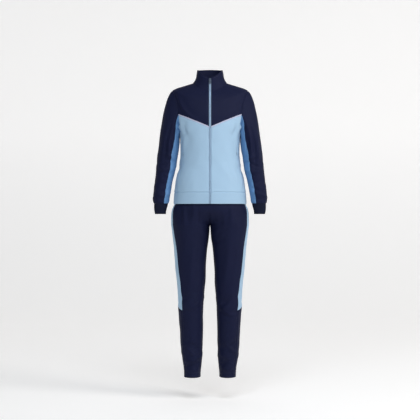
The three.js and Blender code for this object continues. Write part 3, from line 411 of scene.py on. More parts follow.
SLEEVE_FOLDS = [
    (1, 318, 1097, 8, 26, 9, 3, -4.0),
    (1, 320, 1062, -14, 45, 10, 4, 3.5),
    (1, 20, 1010, 22, 45, 12, 5, -3),
    (1, 10, 950, -10, 50, 10, 5, 3.2),
    (1, 200, 1080, -12, 60, 14, 8, -4),
    (-1, 318, 1102, 6, 26, 9, 3, -4.0),
    (-1, 325, 1068, -10, 45, 10, 4, 3.5),
    (-1, 15, 1000, 18, 45, 12, 5, -3),
    (-1, 355, 944, -12, 50, 10, 5, 3.2),
    (-1, 205, 1070, -14, 60, 14, 8, -4),
    (1, 350, 1120, 24, 36, 7, 5, 2.6),
    (1, 5, 1085, -20, 34, 6, 4, -2.8),
    (1, 30, 1065, 34, 40, 7, 5, 2.4),
    (1, 340, 1030, 30, 36, 7, 4, 2.2),
    (-1, 345, 1126, 20, 36, 7, 5, 2.6),
    (-1, 0, 1090, -24, 34, 6, 4, -2.8),
    (-1, 28, 1074, 30, 40, 7, 5, 2.2),
    (-1, 338, 1034, 26, 36, 7, 4, 2.2),
    (1, 330, 978, -26, 34, 7, 4, -2.4),
    (1, 40, 975, 30, 36, 8, 4, 2.2),
    (1, 350, 930, 12, 34, 6, 3, -2.2),
    (1, 60, 940, -14, 34, 7, 3, 2.0),
    (-1, 330, 968, -22, 34, 7, 4, -2.4),
    (-1, 40, 966, 26, 36, 8, 4, 2.2),
    (-1, 346, 928, 14, 34, 6, 3, -2.0),
    (-1, 64, 936, -16, 34, 7, 3, 2.0),
    (1, 336, 1165, 66, 46, 8, 6, -3.2),
    (1, 352, 1150, 74, 42, 7, 5, 2.2),
    (-1, 334, 1158, 64, 46, 8, 6, -3.0),
    (-1, 350, 1142, 72, 42, 7, 5, 2.2),
    (1, 341, 1308, 88, 52, 9, 4, -6),
    (1, 356, 1200, 90, 75, 10, 3, 3.0),
    (1, 16, 1170, 88, 88, 9, 5, -3.8),
    (1, 34, 1150, 84, 90, 11, 5, 2.4),
    (-1, 336, 1298, 86, 48, 10, 4, -5),
    (-1, 352, 1195, 90, 70, 10, 3, 2.6),
    (-1, 14, 1180, 90, 80, 9, 5, -3.0),
    (1, 190, 1118, 14, 50, 9, 7, 3.0),
    (1, 170, 1040, -18, 46, 9, 6, 2.6),
    (1, 215, 1012, 20, 40, 9, 5, -2.4),
    (1, 180, 958, 8, 40, 8, 4, 2.4),
    (1, 150, 935, -12, 36, 7, 4, -2.0),
    (-1, 192, 1110, 12, 50, 9, 7, 3.0),
    (-1, 172, 1034, -16, 46, 9, 6, 2.6),
    (-1, 212, 1004, 18, 40, 9, 5, -2.4),
    (-1, 184, 952, 10, 40, 8, 4, 2.4),
    (-1, 152, 930, -10, 36, 7, 4, -2.0),
    (1, 100, 1090, -10, 40, 9, 5, 1.8),
    (-1, 96, 1082, 12, 40, 9, 5, 1.8),
    (1, 95, 1010, 16, 38, 8, 4, -1.6),
    (-1, 98, 1002, -14, 38, 8, 4, -1.6),
    (1, 200, 1190, 70, 55, 11, 6, -2.6),
    (-1, 202, 1184, 72, 55, 11, 6, -2.4),
]
LEG_FOLDS = [
    (1, 20, 472, 18, 60, 15, 5, -4.5),
    (1, 340, 430, -20, 55, 14, 5, 4),
    (1, 10, 255, 20, 60, 14, 5, -4.5),
    (1, 345, 205, -15, 50, 13, 4, 4),
    (1, 180, 450, 5, 70, 18, 8, -5),
    (1, 190, 240, -12, 70, 18, 6, -4.5),
    (-1, 15, 480, -16, 60, 15, 5, -3.5),
    (-1, 330, 240, 22, 60, 14, 5, -4.5),
    (-1, 350, 190, -14, 50, 13, 4, 4),
    (-1, 175, 460, -6, 70, 18, 8, -5),
    (-1, 185, 250, 10, 70, 18, 6, -4.5),
    (1, 5, 860, 90, 50, 12, 3, 3.5),
    (-1, 350, 860, 90, 45, 12, -3, 3.5),
    (1, 330, 446, 30, 34, 8, 4, -3.6),
    (1, 352, 405, -24, 38, 9, 5, 3.6),
    (1, 40, 420, 30, 40, 8, 5, -2.2),
    (1, 5, 375, 18, 40, 8, 5, 2.0),
    (-1, 338, 440, -26, 38, 9, 4, 3.0),
    (-1, 10, 412, 24, 38, 8, 4, -1.8),
    (1, 26, 228, -28, 34, 8, 4, 3.8),
    (1, 338, 172, 24, 34, 8, 4, -3.6),
    (1, 20, 150, 12, 34, 7, 3, 2.4),
    (1, 350, 126, -8, 34, 6, 2, -1.8),
    (-1, 16, 262, -20, 36, 8, 4, 3.6),
    (-1, 350, 214, 30, 34, 8, 4, 3.8),
    (-1, 8, 160, -14, 34, 8, 3, -3.6),
    (-1, 335, 140, 16, 34, 6, 3, 2.2),
    (-1, 0, 122, 6, 34, 6, 2, -1.6),
    (1, 335, 838, 84, 44, 8, 3, -2.4),
    (1, 28, 850, 96, 40, 9, 0, -2.2),
    (-1, 18, 856, 88, 44, 9, 0, 2.8),
    (-1, 30, 840, 94, 38, 8, 0, -2.2),
    (-1, 335, 832, 80, 42, 8, 3, -2.4),
    (1, 305, 770, 30, 60, 10, 6, 2.6),
    (1, 312, 730, 20, 60, 10, 6, -2.2),
    (-1, 308, 762, 34, 60, 10, 6, 2.4),
    (-1, 314, 722, 24, 60, 10, 6, -2.2),
    (1, 352, 640, 82, 120, 15, 5, 2.6),
    (-1, 356, 630, 96, 120, 15, 5, 2.6),
    (1, 160, 485, 14, 50, 10, 7, 3.0),
    (1, 200, 418, -12, 50, 10, 7, 3.0),
    (1, 170, 385, 10, 46, 10, 6, -2.6),
    (-1, 165, 492, -10, 50, 10, 7, 3.0),
    (-1, 200, 428, 14, 50, 10, 7, 3.0),
    (-1, 172, 392, -12, 46, 10, 6, -2.6),
    (1, 200, 760, 22, 60, 11, 7, 2.8),
    (1, 205, 800, 34, 55, 12, 7, -3.0),
    (-1, 202, 768, 20, 60, 11, 7, 2.8),
    (-1, 206, 808, 32, 55, 12, 7, -3.0),
    (1, 190, 190, 8, 40, 8, 4, 2.6),
    (1, 175, 155, -10, 38, 7, 4, -2.2),
    (-1, 186, 198, -10, 40, 8, 4, 2.6),
    (-1, 176, 150, 8, 38, 7, 4, -2.2),
    (1, 255, 460, 20, 40, 9, 5, 2.2),
    (-1, 258, 470, 18, 40, 9, 5, 2.2),
    (1, 250, 205, -14, 38, 8, 4, 2.0),
    (-1, 262, 215, -16, 38, 8, 4, 2.0),
    (1, 95, 455, 12, 40, 9, 5, -2.0),
    (-1, 92, 448, 12, 40, 9, 5, -2.0),
    (1, 90, 205, 14, 40, 8, 4, 2.0),
    (-1, 95, 215, -12, 40, 8, 4, 2.0),
]

# Unevenness that any worn cloth has: waves in all directions. wavelengths and height in millimetres
RUMPLE_WAVES = 14
RUMPLE_LENGTHS = (38, 110)
RUMPLE_HEIGHT = 0.16
RUMPLE_DRAW = np.random.default_rng(11)
RUMPLE_DIRECTIONS = RUMPLE_DRAW.normal(size=(RUMPLE_WAVES, 3))
RUMPLE_DIRECTIONS /= np.linalg.norm(RUMPLE_DIRECTIONS, axis=1, keepdims=True)
RUMPLE_WAVELENGTHS = RUMPLE_DRAW.uniform(*RUMPLE_LENGTHS, RUMPLE_WAVES)
RUMPLE_PHASES = RUMPLE_DRAW.uniform(0, 2 * math.pi, RUMPLE_WAVES)


def fold_push(folds, side, angle, height, radius, round_both=False):
    """How far the creases push the cloth out. Each is its push times a bell along its run, times a
    crest across it: exp(-|off|^1.6) less a shallow hollow on either side of the crest."""
    push = 0
    for fold_side, across, middle, turn, run, spread, bend, size in folds:
        if fold_side != side and not round_both:
            continue
        way = fold_side if round_both else 1
        turned = angle - way * math.radians(across)
        around = np.arctan2(np.sin(turned), np.cos(turned)) * radius
        rise = height - middle
        slope = way * math.radians(turn)
        along = (around * math.cos(slope) + rise * math.sin(slope)) / run
        off = rise * math.cos(slope) - around * math.sin(slope) - way * bend * along**2
        off = np.abs(off / spread)
        crest = np.exp(-(off**1.6)) - 0.22 * np.exp(-1.4 * (off - 2.0) ** 2)
        push = push + size * np.exp(-(along**2)) * crest
    return push


def rumple(points):
    """A sum of plane waves through space, so that it runs on across every seam."""
    height = 0
    for direction, length, phase in zip(RUMPLE_DIRECTIONS, RUMPLE_WAVELENGTHS, RUMPLE_PHASES):
        height = height + np.sin(points @ direction * (2 * math.pi / length) + phase) * length
    return RUMPLE_HEIGHT * height / np.mean(RUMPLE_LENGTHS)


def stacked(x, y, z):
    """Joins three arrays of coordinates into points."""
    return np.stack(np.broadcast_arrays(x, y, z), axis=-1).astype(float)


def ring_points(ring, level, angle):
    """A point on a ring of the body or collar, angle 0 at the front and 90 degrees at the left side:
    an ellipse whose corners swell by full, and whose height runs from the side's to the middle's."""
    s, c = np.sin(angle), np.cos(angle)
    depth = np.where(c > 0, ring["front_depth"], ring["back_depth"])
    end = np.where(c > 0, ring["front"], ring["back"])
    x = ring["half"] * s * (1 + ring["full"] * c * c)
    y = -depth * c * (1 + ring["full"] * s * s)
    return stacked(x, y, level + (end - level) * c * c)


def body_points(angle, level):
    """The jacket body's outer surface: its ring, pushed away from the middle line by the creases."""
    points = ring_points(BODY(level), level, angle)
    radius = np.hypot(points[..., 0], points[..., 1])
    push = fold_push(BODY_FOLDS, 1, angle, level, radius, round_both=True) + rumple(points)
    scale = (1 + push / radius)[..., None]
    return points * np.concatenate([scale, scale, np.ones_like(scale)], axis=-1)


def collar_points(angle, level):
    """The collar's outer surface, with the cloth's faint unevenness."""
    points = ring_points(COLLAR(level), level, angle)
    radius = np.hypot(points[..., 0], points[..., 1])
    scale = (1 + 0.6 * rumple(points * 1.6) / radius)[..., None]
    return points * np.concatenate([scale, scale, np.ones_like(scale)], axis=-1)


def armhole_level(step):
    """Level of the armhole's edge, 0 at the armpit and 1 at the shoulder's tip, close at both."""
    return ARMPIT_HEIGHT + (SHOULDER_TIP_HEIGHT - ARMPIT_HEIGHT) * (1 - np.cos(math.pi * step)) / 2


def side_angle(level, back):
    """Angle of the body's edge at the armhole, the side seam or the shoulder seam: half of an
    ellipse's width either side of 90 degrees."""
    part = np.clip((level - ARMPIT_HEIGHT) / (SHOULDER_TIP_HEIGHT - ARMPIT_HEIGHT), 0, 1)
    widest = ARMHOLE_BACK_ANGLE if back else ARMHOLE_FRONT_ANGLE
    half = widest * 2 * np.sqrt(part * (1 - part))
    return math.pi / 2 + (half if back else -half)


def armhole_points(side, angle):
    """The armhole's edge by angle round the arm, -90 degrees at the armpit and 90 at the tip."""
    step = np.arcsin(np.sin(angle)) / math.pi + 0.5
    level = armhole_level(step)
    edge = np.where(np.cos(angle) >= 0, side_angle(level, False), side_angle(level, True))
    points = body_points(side * edge, level)
    points[..., 0] *= side
    return points


def arm_ring(table, angle, height):
    """A ring of the sleeve or cuff: an ellipse about its own middle."""
    ring = table(height)
    x = ring["across"] + ring["half"] * np.sin(angle)
    y = ring["ahead"] - ring["depth"] * np.cos(angle)
    return stacked(x, y, height)


# Directions in which the sleeve's cap leaves the armhole, with the pull at its lower end
CAP_LEAVES = {
    "top": (100, 0, -40),
    "front": (78, -10, -60),
    "back": (78, 12, -60),
    "armpit": (2, 0, -30),
}
CAP_PULL = {"top": 250, "front": 130, "armpit": 33}


def cap_points(side, angle, part):
    """The sleeve's cap: a cubic from the armhole's edge, part 0, to the biceps ring, part 1. Its two
    directions are mixed by the squares of the angle's sine and cosine."""
    sine, cosine = np.sin(angle), np.cos(angle)
    upper = (np.maximum(sine, 0) ** 2)[..., None]
    lower = (np.maximum(-sine, 0) ** 2)[..., None]
    middle = (cosine**2)[..., None]
    ahead = np.where((cosine > 0)[..., None], CAP_LEAVES["front"], CAP_LEAVES["back"])
    leaves = upper * CAP_LEAVES["top"] + lower * CAP_LEAVES["armpit"] + middle * ahead
    pull = CAP_PULL["top"] * upper + CAP_PULL["armpit"] * lower + CAP_PULL["front"] * middle
    top = np.full_like(angle, SLEEVE_TOP_HEIGHT)
    end = arm_ring(SLEEVE, angle, top)
    arrives = arm_ring(SLEEVE, angle, top - 5) - end
    arrives *= pull / np.linalg.norm(arrives, axis=-1, keepdims=True)
    t = part[..., None]
    start = armhole_points(side, angle)
    return (
        start * (2 * t**3 - 3 * t**2 + 1)
        + leaves * (t**3 - 2 * t**2 + t)
        + end * (3 * t**2 - 2 * t**3)
        + arrives * (t**3 - t**2)
    )


# Creases of the sleeves and legs are stronger in front and behind than at their outlines
CREASE_AT_SIDES = 0.6
CREASE_IN_FRONT = 0.95

GATHER_HEIGHT = 1.3
GATHER_REACH = 22.0
GATHER_RISE = 4.0
GATHER_COUNT = 15


def gathers(angle, distance):
    """Uneven small pleats where cloth is gathered into a band: waves round the tube that die away
    with the distance from the band."""
    wave = np.sin(GATHER_COUNT * angle + 1.4 * np.sin(2 * angle + 0.6) + 0.8 * np.sin(5 * angle))
    fade = np.exp(-((distance / GATHER_REACH) ** 2)) * (1 - np.exp(-((distance / GATHER_RISE) ** 2)))
    return GATHER_HEIGHT * wave * fade


# Tucks where the sleeve's cap sinks behind the body's front edge. angle: degrees round the arm. wide:
# half-width along the armhole in degrees. depth: in millimetres.
TUCKS = [
    (1, 335, 7, 10),
    (1, 308, 13, 6),
    (-1, 336, 7, 11),
    (-1, 308, 14, 6),
]
TUCK_PLACE = 0.93
TUCK_REACH = 0.055
TUCK_EDGE = 0.02


def tucks(side, angle, place):
    """How deep the cap lies beside the armhole: bells along the armhole and across it."""
    push = 0
    for tuck_side, middle, wide, depth in TUCKS:
        if tuck_side == side:
            turned = angle - math.radians(middle)
            off = np.arctan2(np.sin(turned), np.cos(turned)) / math.radians(wide)
            push = push - depth * np.exp(-(off**2) - ((place - TUCK_PLACE) / TUCK_REACH) ** 2)
    return push * (1 - np.exp(-(((place - 1) / TUCK_EDGE) ** 2)))


def sleeve_surface(side):
    """The sleeve's outer surface. place: 1 at the armhole, 0 at the biceps, -1 at the cuff."""

    def points_at(angle, place):
        angle, place = np.broadcast_arrays(angle, place)
        height = SLEEVE_TOP_HEIGHT + place * (SLEEVE_TOP_HEIGHT - SLEEVE_SEAM_HEIGHT)
        cap = cap_points(side, angle, 1 - np.clip(place, 0, 1))
        lower = arm_ring(SLEEVE, angle, height)
        points = np.where((place > 0)[..., None], cap, lower)
        ring = SLEEVE(points[..., 2])
        x = points[..., 0] - ring["across"]
        y = points[..., 1] - ring["ahead"]
        radius = np.hypot(x, y)
        on_cap = np.clip(place, 0, 1)
        fade = 1 - on_cap**3
        facing = CREASE_AT_SIDES + CREASE_IN_FRONT * np.cos(angle) ** 2
        push = fold_push(SLEEVE_FOLDS, side, angle, points[..., 2], radius) * fade * facing
        push = push + rumple(points * (side, 1, 1)) * fade
        push = push + gathers(angle, height - SLEEVE_SEAM_HEIGHT) + tucks(side, angle, place)
        points = points.copy()
        points[..., 0] += x * push / radius
        points[..., 1] += y * push / radius
        return points

    return points_at


def reach_of_pelvis(height, x0, y0, dx, dy):
    """How many times a step has to be taken to reach the ring round the pelvis, found by halving."""
    ring = PELVIS(height)
    near = np.zeros_like(dx)
    far = np.full_like(dx, 4.0)
    for _ in range(HALVINGS):
        reach = (near + far) / 2
        x, y = x0 + dx * reach, y0 + dy * reach
        depth = np.where(y < 0, ring["front_depth"], ring["back_depth"])
        inside = np.abs(x / ring["half"]) ** PELVIS_FULLNESS + np.abs(y / depth) ** PELVIS_FULLNESS < 1
        near = np.where(inside, reach, near)
        far = np.where(inside, far, reach)
    return near


def trouser_surface(side):
    """The trousers' outer surface on one side, by angle round the leg's middle: the leg's ellipse
    below the crotch, the ring round the pelvis above the split, mixed between the two."""

    def points_at(angle, height):
        angle, height = np.broadcast_arrays(angle, height)
        leg = LEG(height)
        dx = leg["half"] * np.sin(angle)
        dy = -leg["depth"] * np.cos(angle)
        down = np.clip((LEG_SPLIT_HEIGHT - height) / (LEG_SPLIT_HEIGHT - CROTCH_HEIGHT), 0, 1)
        share = 1 - (1 - down**2) ** 2
        reach = np.ones_like(dx)
        above = share < 1
        if above.any():
            step = [values[above] for values in (height, leg["across"], leg["ahead"], dx, dy)]
            reach[above] = share[above] + (1 - share[above]) * reach_of_pelvis(*step)
        length = np.hypot(dx, dy)
        facing = CREASE_AT_SIDES + CREASE_IN_FRONT * np.cos(angle) ** 2
        push = fold_push(LEG_FOLDS, side, angle, height, length * reach) * facing
        points = stacked(leg["across"] + dx * reach, leg["ahead"] + dy * reach, height)
        inner = np.clip(points[..., 0] / 12, 0, 1) * np.clip((CROTCH_HEIGHT + 20 - height) / 40, 0, 1)
        free = np.maximum(inner, np.clip(points[..., 0] / 40, 0, 1))
        push = push * free + rumple(points * (side, 1, 1)) * free
        out = reach + push / length
        return stacked(leg["across"] + dx * out, leg["ahead"] + dy * out, height)

    return points_at


def waistband_points(angle, height):
    """The waistband's outer surface: the ring round the pelvis, drawn in by its elastic in channels
    and small upright gathers."""
    angle, height = np.broadcast_arrays(angle, height)
    dx, dy = WAISTBAND_RADIUS * np.sin(angle), -WAISTBAND_RADIUS * np.cos(angle)
    reach = reach_of_pelvis(height, 0.0, 0.0, dx, dy)
    part = (height - TROUSER_TOP_HEIGHT) / (WAISTBAND_TOP_HEIGHT - TROUSER_TOP_HEIGHT)
    channel = np.abs(np.sin(WAISTBAND_CHANNELS * math.pi * part))
    pleats = np.sin(WAISTBAND_PLEATS * angle + 1.5 * np.sin(6 * angle)) * channel
    scale = reach + (1.1 * channel**0.6 + 0.9 * pleats - 0.8) / WAISTBAND_RADIUS
    return stacked(dx * scale, dy * scale, height)


# Meshes


def unit(vectors):
    """Vectors of length 1 in the same directions."""
    return vectors / np.linalg.norm(vectors, axis=-1, keepdims=True)


def run_of(path):
    """Distance from a path's start to each of its points."""
    return np.concatenate([[0], np.cumsum(np.linalg.norm(np.diff(path, axis=0), axis=1))])


def along_path(distances, run, values):
    """A path's values at distances from its start."""
    return np.stack([np.interp(distances, run, column) for column in values.T], -1)


def to_frame(points):
    """Millimetres above the floor to metres in the frame."""
    return (np.asarray(points, float) - (0, 0, ORIGIN_HEIGHT)) * MM


def add_mesh(name, points, faces, uv=None):
    """A mesh object from points in the frame and an array or list of faces. uv: one pair a point."""
    mesh = bpy.data.meshes.new(name)
    mesh.from_pydata(np.asarray(points).tolist(), [], [list(face) for face in faces])
    mesh.polygons.foreach_set("use_smooth", np.full(len(mesh.polygons), True))
    if uv is not None:
        corners = np.zeros(len(mesh.loops), np.int32)
        mesh.loops.foreach_get("vertex_index", corners)
        layer = mesh.uv_layers.new(name="cloth")
        layer.data.foreach_set("uv", np.asarray(uv, np.float32)[corners].ravel())
    mesh.update()
    thing = bpy.data.objects.new(name, mesh)
    bpy.context.scene.collection.objects.link(thing)
    return thing


def fractions(length, spacing=SPACING):
    """Places from 0 to 1 along a panel of that length, even in the middle and close at its edges."""
    first = CLOSE_TO_EDGE / length
    last = 1 - CLOSE_TO_EDGE[::-1] / length
    count = max(2, round((last[0] - first[-1]) * length / spacing))
    middle = np.linspace(first[-1], last[0], count + 1)[1:-1]
    return np.concatenate([first, middle, last])


def grid_normals(points, closed=False):
    """Unit normals of a grid: the cross product of its two differences."""
    if closed:
        around = np.roll(points, -1, axis=1) - np.roll(points, 1, axis=1)
    else:
        around = np.gradient(points, axis=1)
    up = np.gradient(points, axis=0)
    normals = np.cross(around, up)
    return normals / np.maximum(np.linalg.norm(normals, axis=-1, keepdims=True), 1e-9)


def lengths_along(points, axis):
    """Distance from a grid's first edge to each of its points, along the grid's lines."""
    steps = np.linalg.norm(np.diff(points, axis=axis), axis=-1)
    start = np.zeros_like(np.take(steps, [0], axis=axis))
    return np.concatenate([start, np.cumsum(steps, axis=axis)], axis=axis)


# How a panel's edge is finished. round: radius of the turned edge. puff: how far the cloth stands up
# beside the seam. width: how near to the seam it has risen. pucker: height of the small waves that
# the stitches draw. dip: how deep the seam's own line lies, only where both of its panels belong to
# one surface and so sink alike. JOIN is a seam between two surfaces.
SEAM = {"round": 0.0, "puff": 0.9, "width": 2.4, "pucker": 0.25, "dip": 1.3}
JOIN = {"round": 0.0, "puff": 0.9, "width": 2.4, "pucker": 0.25, "dip": 0.0}
FLAT_SEAM = {"round": 0.0, "puff": 0.6, "width": 1.8, "pucker": 0.12, "dip": 0.9}
HEM = {"round": 1.0, "puff": 0.0, "width": 2.0, "pucker": 0.15, "dip": 0.0}
ZIP_EDGE = {"round": 1.0, "puff": 0.5, "width": 3.0, "pucker": 0.15, "dip": 0.8}
ROLLED = {"round": 1.5, "puff": 0.0, "width": 2.0, "pucker": 0.0, "dip": 0.0}
PUCKER_LENGTH = 13.0
PUFF_REACH = 13.0
PUCKER_REACH = 7.0
DIP_REACH = 2.2

# The radius of a turned edge is at most this share of the wall's thickness
ROUND_SHARE = 0.48


def edge_shape(finish, distance, along, thickness):
    """Push and rounding of one edge at a distance from it. The swell rises from nothing at the edge,
    1 - exp(-(d/width)^2), and dies away, exp(-(d/reach)^2), as do small waves along the edge."""
    if finish is None:
        return 0.0, 0.0
    rise = 1 - np.exp(-((distance / finish["width"]) ** 2))
    wave = np.sin(along * 2 * math.pi / PUCKER_LENGTH + 1.7 * np.sin(along / 21) + np.sin(along / 47))
    push = finish["puff"] * np.exp(-((distance / PUFF_REACH) ** 2))
    push = rise * (push + finish["pucker"] * wave * np.exp(-distance / PUCKER_REACH))
    push = push - finish["dip"] * np.exp(-((distance / DIP_REACH) ** 2))
    radius = min(finish["round"], ROUND_SHARE * thickness)
    short = radius - np.minimum(distance, radius)
    return push, radius - np.sqrt(np.maximum(radius**2 - short**2, 0))


def cloth_panel(name, surface, place, u, v, edges, side=1, thickness=CLOTH, closed=False, lift=None):
    """A panel with a wall of even thickness and finished edges. u and v are the grid's places from 0
    to 1, place gives their angle and level, and surface the outer points. edges: low, high, first and
    last. A panel of side -1 is worked out on the left and turned over at the end."""
    grid_u, grid_v = np.meshgrid(u, v)
    angle, level = place(grid_u, grid_v)
    points = surface(angle, level)
    normals = grid_normals(points, closed)
    across, along = lengths_along(points, 1), lengths_along(points, 0)
    low, high, first, last = edges
    total, inset = 0.0, 0.0
    for finish, distance, run in (
        (low, along, across),
        (high, along[-1:] - along, across),
        (first, across, along),
        (last, across[:, -1:] - across, along),
    ):
        push, rounding = edge_shape(finish, distance, run, thickness)
        total = total + push
        inset = np.maximum(inset, rounding)
    if lift is not None:
        total = total + lift(grid_v)
    total = np.broadcast_to(total, level.shape)[..., None]
    inset = np.broadcast_to(inset, level.shape)[..., None]
    outer = points + normals * (total - inset)
    inner = points + normals * (total - thickness + inset)
    uv = np.stack([across - across[:, -1:] / 2, along], axis=-1) * MM
    if closed:
        outer, inner, uv = outer[:, :-1], inner[:, :-1], uv[:, :-1]
    return wall(name, outer, inner, uv, closed, side)


def wall(name, outer, inner, uv, closed, side):
    """Joins an outer and an inner grid into one closed wall, facing outwards."""
    rows, columns = outer.shape[:2]
    count = rows * columns
    index = np.arange(count).reshape(rows, columns)
    right = np.roll(index, -1, axis=1) if closed else index[:, 1:]
    left = index if closed else index[:, :-1]
    a, b, c, d = left[:-1], right[:-1], right[1:], left[1:]
    quads = [np.stack([a, b, c, d], -1).reshape(-1, 4)]
    quads.append(np.stack([d, c, b, a], -1).reshape(-1, 4) + count)
    low = np.stack([right[0], left[0], left[0] + count, right[0] + count], -1)
    high = np.stack([left[-1], right[-1], right[-1] + count, left[-1] + count], -1)
    quads += [low, high]
    if not closed:
        first, last = index[:, 0], index[:, -1]
        quads.append(np.stack([first[:-1], first[1:], first[1:] + count, first[:-1] + count], -1))
        quads.append(np.stack([last[1:], last[:-1], last[:-1] + count, last[1:] + count], -1))
    faces = np.concatenate(quads)
    points = np.concatenate([outer.reshape(-1, 3), inner.reshape(-1, 3)])
    uv = np.concatenate([uv.reshape(-1, 2)] * 2)
    if side < 0:
        points = points * (-1, 1, 1)
        faces = faces[:, ::-1]
    return add_mesh(name, to_frame(points), faces, uv)


def bead_template(ring=6, stations=2):
    """A small rounded bar along the first axis, 2 long and 2 across: rings of a capsule, with a pole
    at each end."""
    turns = np.arange(ring) * 2 * math.pi / ring
    lean = np.linspace(-0.62, 0.62, stations)
    circle = np.stack([np.cos(turns), np.sin(turns)], -1)
    points = [np.array([[-1.0, 0, 0]])]
    for at in lean:
        points.append(np.concatenate([np.full((ring, 1), at), circle * (1 - 0.25 * at**2)], axis=1))
    points.append(np.array([[1.0, 0, 0]]))
    points = np.concatenate(points)
    end = len(points) - 1
    faces = []
    for i in range(ring):
        j = (i + 1) % ring
        faces.append((0, 1 + j, 1 + i))
        for row in range(stations - 1):
            low = 1 + row * ring
            faces.append((low + i, low + j, low + ring + j, low + ring + i))
        low = 1 + (stations - 1) * ring
        faces.append((low + i, low + j, end))
    return points, faces


def beads(name, centres, along, across, out, ring=6, stations=2):
    """Many small rounded bars in one mesh. along, across and out are each bar's three half-axes."""
    template, faces = bead_template(ring, stations)
    axes = np.stack([along, across, out], axis=1)
    points = centres[:, None, :] + np.einsum("tk,nkc->ntc", template, axes)
    starts = np.arange(len(centres))[:, None] * len(template)
    left_handed = np.einsum("nc,nc->n", np.cross(along, across), out) <= 0
    everything = []
    for face in faces:
        corners = starts + np.array(face)
        corners[left_handed] = corners[left_handed][:, ::-1]
        everything += corners.tolist()
    return add_mesh(name, to_frame(points.reshape(-1, 3)), everything)


def stitch_bars(path, normals):
    """Centres and half-axes of a row of stitches along a path on the cloth, by distance along it."""
    run = run_of(path)
    count = int(run[-1] // (STITCH_LENGTH + STITCH_GAP))
    middles = (np.arange(count) + 0.5) * (run[-1] / count)
    before = along_path(middles - STITCH_LENGTH / 2, run, path)
    after = along_path(middles + STITCH_LENGTH / 2, run, path)
    along = (after - before) / 2
    out = unit(along_path(middles, run, normals)) * THREAD
    across = unit(np.cross(out, along)) * THREAD
    return along_path(middles, run, path) + out * (1 - STITCH_SINK), along, across, out


# Steps either side of a point at which a surface's slope is measured, in radians and millimetres
SLOPE_ANGLE = 0.004
SLOPE_LEVEL = 0.6


def on_surface(surface, angle, level, side=1):
    """Points and outward normals of a surface along a line, turned over for side -1."""
    around = surface(angle + SLOPE_ANGLE, level) - surface(angle - SLOPE_ANGLE, level)
    up = surface(angle, level + SLOPE_LEVEL) - surface(angle, level - SLOPE_LEVEL)
    flip = (side, 1, 1)
    return surface(angle, level) * flip, unit(np.cross(around, up)) * flip


# Materials


class Value:
    """A socket in an expression: each operator on it adds the Math node that works it out."""

    def __init__(self, shader, socket):
        self.shader = shader
        self.socket = socket

    def _maths(self, operation, first, second):
        node = self.shader.node("ShaderNodeMath", {"operation": operation}, {0: first, 1: second})
        return Value(self.shader, node.outputs[0])

    def __add__(self, other):
        return self._maths("ADD", self, other)

    def __radd__(self, other):
        return self._maths("ADD", other, self)

    def __mul__(self, other):
        return self._maths("MULTIPLY", self, other)

    def __rmul__(self, other):
        return self._maths("MULTIPLY", other, self)

    def sine(self):
        return self._maths("SINE", self, 0.0)

    def size(self):
        return self._maths("ABSOLUTE", self, 0.0)


class Shader:
    """A material whose nodes are made by one method. solid: the piece's Object coordinates."""

    def __init__(self, name):
        self.material = bpy.data.materials.new(name)
        self.material.use_nodes = True
        self.tree = self.material.node_tree
        self.tree.nodes.clear()
        self.place = self.node("ShaderNodeTexCoord")
        self.solid = self.value(self.place, "Object")

    def node(self, kind, settings=None, values=None):
        """Adds a node: its settings first, then the values or links of its sockets."""
        node = self.tree.nodes.new(kind)
        for name, setting in (settings or {}).items():
            setattr(node, name, setting)
        for name, value in (values or {}).items():
            socket = node.inputs[name]
            if isinstance(value, Value):
                self.tree.links.new(value.socket, socket)
            elif hasattr(value, "outputs"):
                self.tree.links.new(value.outputs[0], socket)
            else:
                socket.default_value = value
        return node

    def value(self, node, output=0):
        return Value(self, node.outputs[output])

    def weave_map(self):
        """The cloth's own map: metres across it and along it."""
        parts = self.node("ShaderNodeSeparateXYZ", None, {0: self.value(self.place, "UV")})
        return self.value(parts, 0), self.value(parts, 1)

    def noise(self, vector, scale, detail=3.0, roughness=0.5):
        values = {"Vector": vector, "Scale": scale, "Detail": detail, "Roughness": roughness}
        return self.value(self.node("ShaderNodeTexNoise", None, values), "Fac")

    def mix(self, factor, first, second):
        """A colour between two colours."""
        node = self.node("ShaderNodeMix", {"data_type": "RGBA"}, {0: factor, 6: first, 7: second})
        return self.value(node, 2)

    def bump(self, height, strength, distance=1.0):
        """A normal tilted by the slope of a height."""
        values = {"Strength": strength, "Distance": distance, "Height": height}
        return self.node("ShaderNodeBump", None, values)

    def finish(self, **sockets):
        """The Principled shader and the output. Names are the sockets' with _ for spaces."""
        values = {name.replace("_", " "): value for name, value in sockets.items()}
        shader = self.node("ShaderNodeBsdfPrincipled", None, values)
        self.node("ShaderNodeOutputMaterial", None, {"Surface": shader})
        return self.material


def linear(red, green, blue):
    """A colour written as it looks, 0 to 255, as the light that it stands for."""
    parts = np.array([red, green, blue]) / 255
    light = np.where(parts <= 0.04045, parts / 12.92, ((parts + 0.055) / 1.055) ** 2.4)
    return (*light.tolist(), 1.0)


# Widths and heights of the loops of jersey and of rib knit, and of the tape's weave, in metres
KNIT_WALE = 0.00115
KNIT_COURSE = 0.0009
RIB_WALE = 0.0016
RIB_COURSE = 0.0013
TAPE_ZIGZAG = 0.0016
TAPE_PICK = 0.0007


